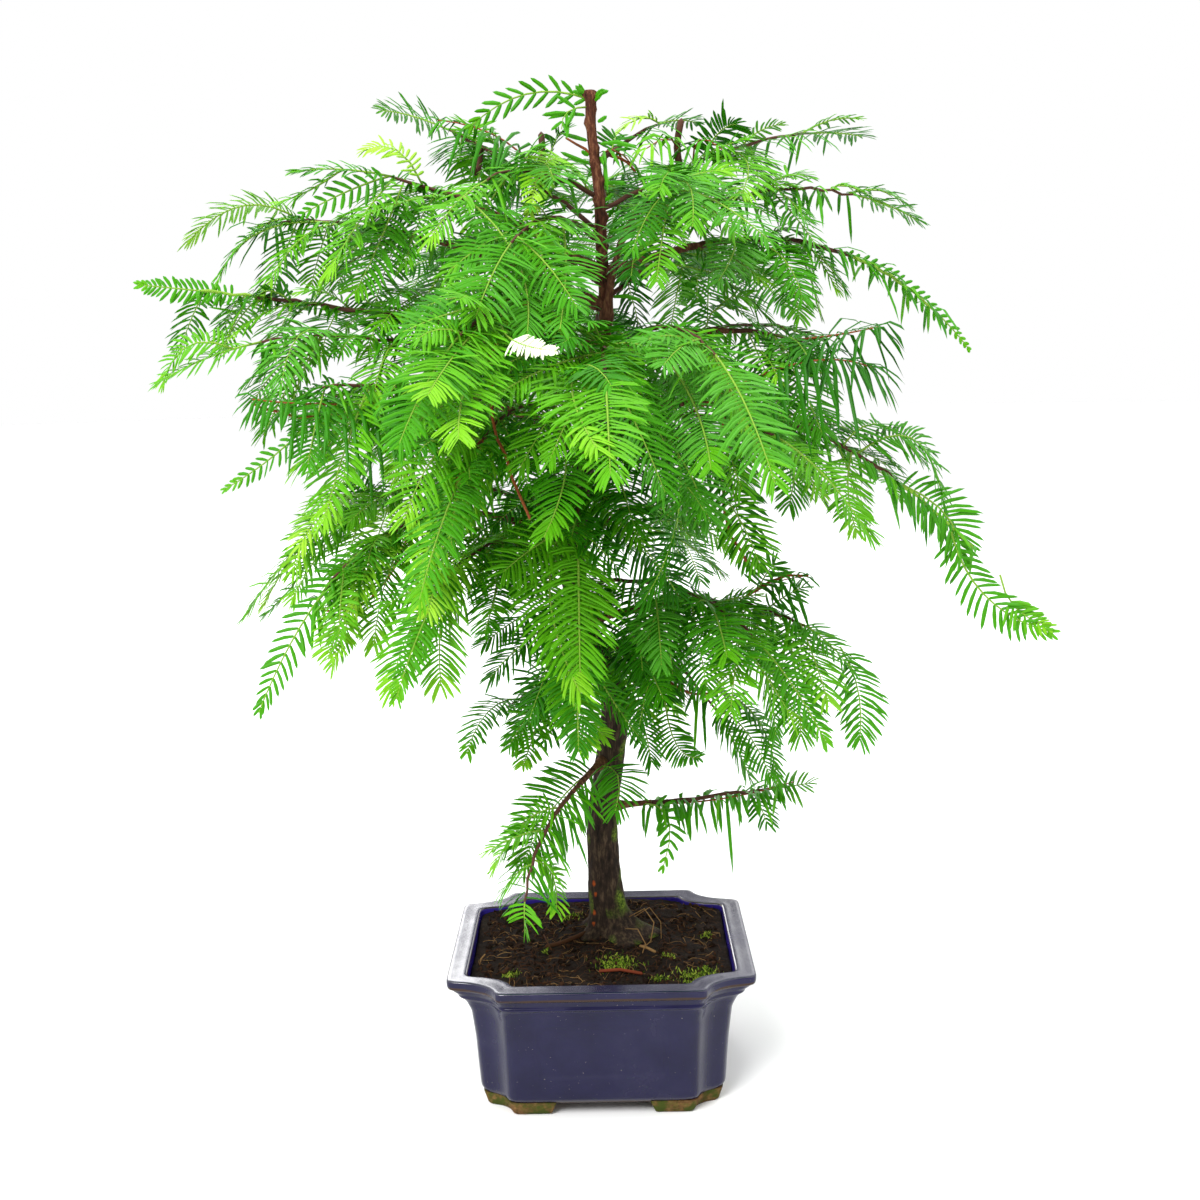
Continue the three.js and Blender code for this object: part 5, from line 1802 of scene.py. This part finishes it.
def bark(name, dark, middle, light, mossy):
    made, tree, shader = material(name, middle, 0.9, 0.2)
    place = object_place(tree, (1, 1, 0.24))
    grain = pattern(tree, place, 520, 5, 0.7)
    body = colour_ramp(tree, grain, (0.32, dark), (0.52, middle), (0.74, light))
    if mossy:
        moss = steps(tree, attribute(tree, "moss"), 0.35, 0.75)
        speckle = steps(tree, pattern(tree, object_place(tree), 800, 3, 0.7), 0.4, 0.6)
        green = mixed(tree, speckle, rgba(*DARK_MOSS), rgba(*LIGHT_MOSS))
        body = mixed(tree, moss, body, green)
        red = steps(tree, attribute(tree, "young"), 0.0, 1.0)
        body = mixed(tree, red, body, colour_ramp(tree, grain, *YOUNG_BARK))
        spot = steps(tree, attribute(tree, "scar"), 0.4, 0.8)
        body = mixed(tree, spot, body, rgba(*ORANGE))
    tree.links.new(body, shader.inputs["Base Color"])
    add_bump(tree, shader, grain, 0.7, 0.0009)
    return made


# Bare orange spots on the front of the foot: x, height and size.
ORANGE_SPOTS = ((-3.5, 84, 2.6), (-2.6, 95, 2.0), (-3.4, 101, 3.2), (-4.0, 78, 1.6))
SPOT_ACROSS, SPOT_UP = 1.2, 1.4
# Moss up the right side and up the left: between which shares of the radius it comes in, between
# which heights it goes, and how thick it is.
MOSSY_SIDES = {1: ((0.2, 0.8), (200, 330), 0.75), -1: ((0.5, 0.9), (150, 250), 0.6)}
MOSSY_FOOT, FOOT_MOSS, FOOT_MOSS_FROM = (84, 112), 0.62, -0.1
MOSS_SHARE, MOSS_PATCHY, MOSS_SIZE = 0.5, 0.9, 9
YOUNG_WOOD = (330, 430)
TIP_TAPER = 0.72


def moss_share(x, y, z, right):
    """How mossy the trunk is at a place that lies a share of its radius to the right."""
    foot = FOOT_MOSS * float(1 - smooth_step(z, *MOSSY_FOOT)) * (right > FOOT_MOSS_FROM)
    sides = [smooth_step(right * side, *span) * (1 - smooth_step(z, *heights)) * thick
             for side, (span, heights, thick) in MOSSY_SIDES.items()]
    return max(*sides, foot) * (MOSS_SHARE + MOSS_PATCHY * noise_at(x, y, z, MOSS_SIZE, 11))


def trunk():
    bm = bmesh.new()
    moss, young, scar = (bm.verts.layers.float.new(name) for name in ("moss", "young", "scar"))
    heights = np.arange(TRUNK[0, 0] - 2, TRUNK[-1, 0] - 0.5, TRUNK_STEP)
    rings = [trunk_ring(height) for height in heights]
    tip, _ = smooth_trunk_at(TRUNK[-1, 0])
    rings.append([(tip[0] + (x - tip[0]) * TIP_TAPER, tip[1] + (y - tip[1]) * TIP_TAPER, TRUNK[-1, 0])
                  for x, y, _ in rings[-1]])
    tube(bm, rings)
    for vert in bm.verts:
        x, y, z = vert.co
        centre, radius = smooth_trunk_at(z)
        vert[moss] = moss_share(x, y, z, (x - centre[0]) / max(radius, 1))
        vert[young] = float(smooth_step(z, *YOUNG_WOOD))
        if y < centre[1]:
            vert[scar] = max(
                math.exp(-((x - spot_x) ** 2 / SPOT_ACROSS + (z - spot_z) ** 2 / (size * SPOT_UP)))
                for spot_x, spot_z, size in ORANGE_SPOTS)
    brown = bark("old_bark", *OLD_BARK, True)
    piece = ring_piece("trunk_bark", bm, brown)
    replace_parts(piece, "trunk")


BOUGH_SKIN = (2.3, 1.3)     # a bough's radius at the trunk and at its tip
BOUGH_SIDES = 12
BOUGH_STEP, BOUGH_RINGS = 1.8, 8   # how far apart its rings stand, and the fewest of them
COLLAR, COLLAR_AT, COLLAR_HALF = 1.6, 4, 5   # how much a bough swells where it leaves the trunk
# The flakes of its bark: depth, size and seed.
BOUGH_FLAKES = ((0.35, 2.2, 2), (0.2, 5, 3))


def bough_ring(limb, share):
    """A ring round a bough at a share of its bare length."""
    centre, course = on_curve(limb.curve, limb.bare * share), course_of(limb.curve, limb.bare * share)
    beside = beside_of(course)
    above = np.cross(beside, course)
    along = share * limb.whole * limb.bare
    collar = COLLAR * bell(along - COLLAR_AT, COLLAR_HALF)
    radius = np.interp(share, (0, 1), BOUGH_SKIN) + collar
    ring = []
    for angle in np.arange(BOUGH_SIDES) * 2 * math.pi / BOUGH_SIDES:
        out = above * math.cos(angle) + beside * math.sin(angle)
        place = centre + out * radius
        flake = sum(deep * noise_at(*place, size, seed) for deep, size, seed in BOUGH_FLAKES)
        ring.append(tuple(centre + out * (radius + flake)))
    return ring


def boughs(limbs):
    brown = bark("bough_bark", *BOUGH_BARK, False)
    for limb in limbs:
        if limb.bare == 0:
            continue
        bm = bmesh.new()
        count = max(BOUGH_RINGS, int(limb.whole * limb.bare / BOUGH_STEP))
        tube(bm, [bough_ring(limb, share) for share in np.linspace(0, 1, count)])
        piece = ring_piece(f"bark_{limb.name}", bm, brown)
        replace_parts(piece, f"bough_{limb.name}")


# ---------------------------------------------------------------- light, floor and camera

CLIP = (0.02, 50)           # in metres, as all of the studio


def camera():
    data = bpy.data.cameras.new("camera")
    data.sensor_width = SENSOR_WIDTH
    data.lens = LENS
    data.clip_start, data.clip_end = CLIP
    made = bpy.data.objects.new("camera", data)
    ahead, right, up = (Vector(axis) for axis in VIEW_AXES)
    turn = Matrix((right, up, -ahead)).transposed().to_4x4()
    made.matrix_world = Matrix.Translation(TO_PART @ Vector(VIEW_PLACE)) @ turn
    bpy.context.scene.collection.objects.link(made)
    bpy.context.scene.camera = made


def area_light(name, shape, place, aim, size, power):
    """An evenly glowing light that isn't seen itself."""
    data = bpy.data.lights.new(name, "AREA")
    data.shape = shape
    data.size = size
    data.energy = power
    made = bpy.data.objects.new(name, data)
    made.location = place
    made.rotation_euler = (Vector(aim) - Vector(place)).to_track_quat("-Z", "Y").to_euler()
    made.visible_camera = False
    bpy.context.scene.collection.objects.link(made)


STUDIO_LIGHT = 1.15
DIM_FRONT = 0.12            # the studio's brightness behind the camera
DIM_BACK = 0.3              # and behind the plant
DIM_FRONT_SPAN, DIM_BACK_SPAN = (-0.95, -0.5), (0.8, 0.88)   # between which y of the direction
# The lights: shape, place, what they point at, size and power. The panels shine on the pot's rim.
LIGHTS = {
    "key": ("DISK", (-0.8, -1.4, 1.7), (0, 0, 0.3), 1.1, 44),
    "top": ("DISK", (0.3, 0.2, 2.2), (0, 0, 0.2), 1.6, 16),
    "left_panel": ("SQUARE", (-0.66, 2.2, 1.0), (0, 0, 0.1), 0.8, 13),
    "right_panel": ("SQUARE", (0.63, 2.2, 1.0), (0, 0, 0.1), 0.8, 4.5),
}
FLOOR_RADIUS = 9


def studio():
    world = bpy.data.worlds.new("studio")
    world.use_nodes = True
    tree = world.node_tree
    seen = tree.nodes["Background"]
    seen.inputs["Color"].default_value = (1, 1, 1, 1)
    direction = node(tree, "ShaderNodeTexCoord").outputs["Generated"]
    split = node(tree, "ShaderNodeSeparateXYZ", Vector=direction)
    depth = steps(tree, split.outputs["Y"], *DIM_FRONT_SPAN, DIM_FRONT, STUDIO_LIGHT)
    behind = tree.nodes.new("ShaderNodeMath")
    behind.operation = "MULTIPLY"
    tree.links.new(depth, behind.inputs[0])
    tree.links.new(steps(tree, split.outputs["Y"], *DIM_BACK_SPAN, 1, DIM_BACK), behind.inputs[1])
    light = node(tree, "ShaderNodeBackground", Color=(1, 1, 1, 1), Strength=behind.outputs[0])
    choose = tree.nodes.new("ShaderNodeMixShader")
    path = tree.nodes.new("ShaderNodeLightPath")
    tree.links.new(path.outputs["Is Camera Ray"], choose.inputs[0])
    tree.links.new(light.outputs[0], choose.inputs[1])
    tree.links.new(seen.outputs[0], choose.inputs[2])
    tree.links.new(choose.outputs[0], tree.nodes["World Output"].inputs["Surface"])
    bpy.context.scene.world = world
    bpy.context.scene.view_settings.view_transform = "Standard"
    for name, light in LIGHTS.items():
        area_light(name, *light)


def floor():
    bm = bmesh.new()
    bmesh.ops.create_circle(bm, segments=64, radius=FLOOR_RADIUS, cap_ends=True)
    mesh = bpy.data.meshes.new("floor")
    bm.to_mesh(mesh)
    bm.free()
    mesh.materials.append(material("floor_white", (252, 252, 252), 0.7, 0.0)[0])
    made = bpy.data.objects.new("floor", mesh)
    bpy.context.scene.collection.objects.link(made)


# ---------------------------------------------------------------- making it all

camera()
studio()
floor()
limbs = [plan_limb(*row) for row in LIMBS]
first_growth(limbs)
chosen_growth(limbs)
finer_growth(limbs)
foliage(limbs)
pot()
feet()
soil(peat())
litter()
moss()
trunk()
boughs(limbs)
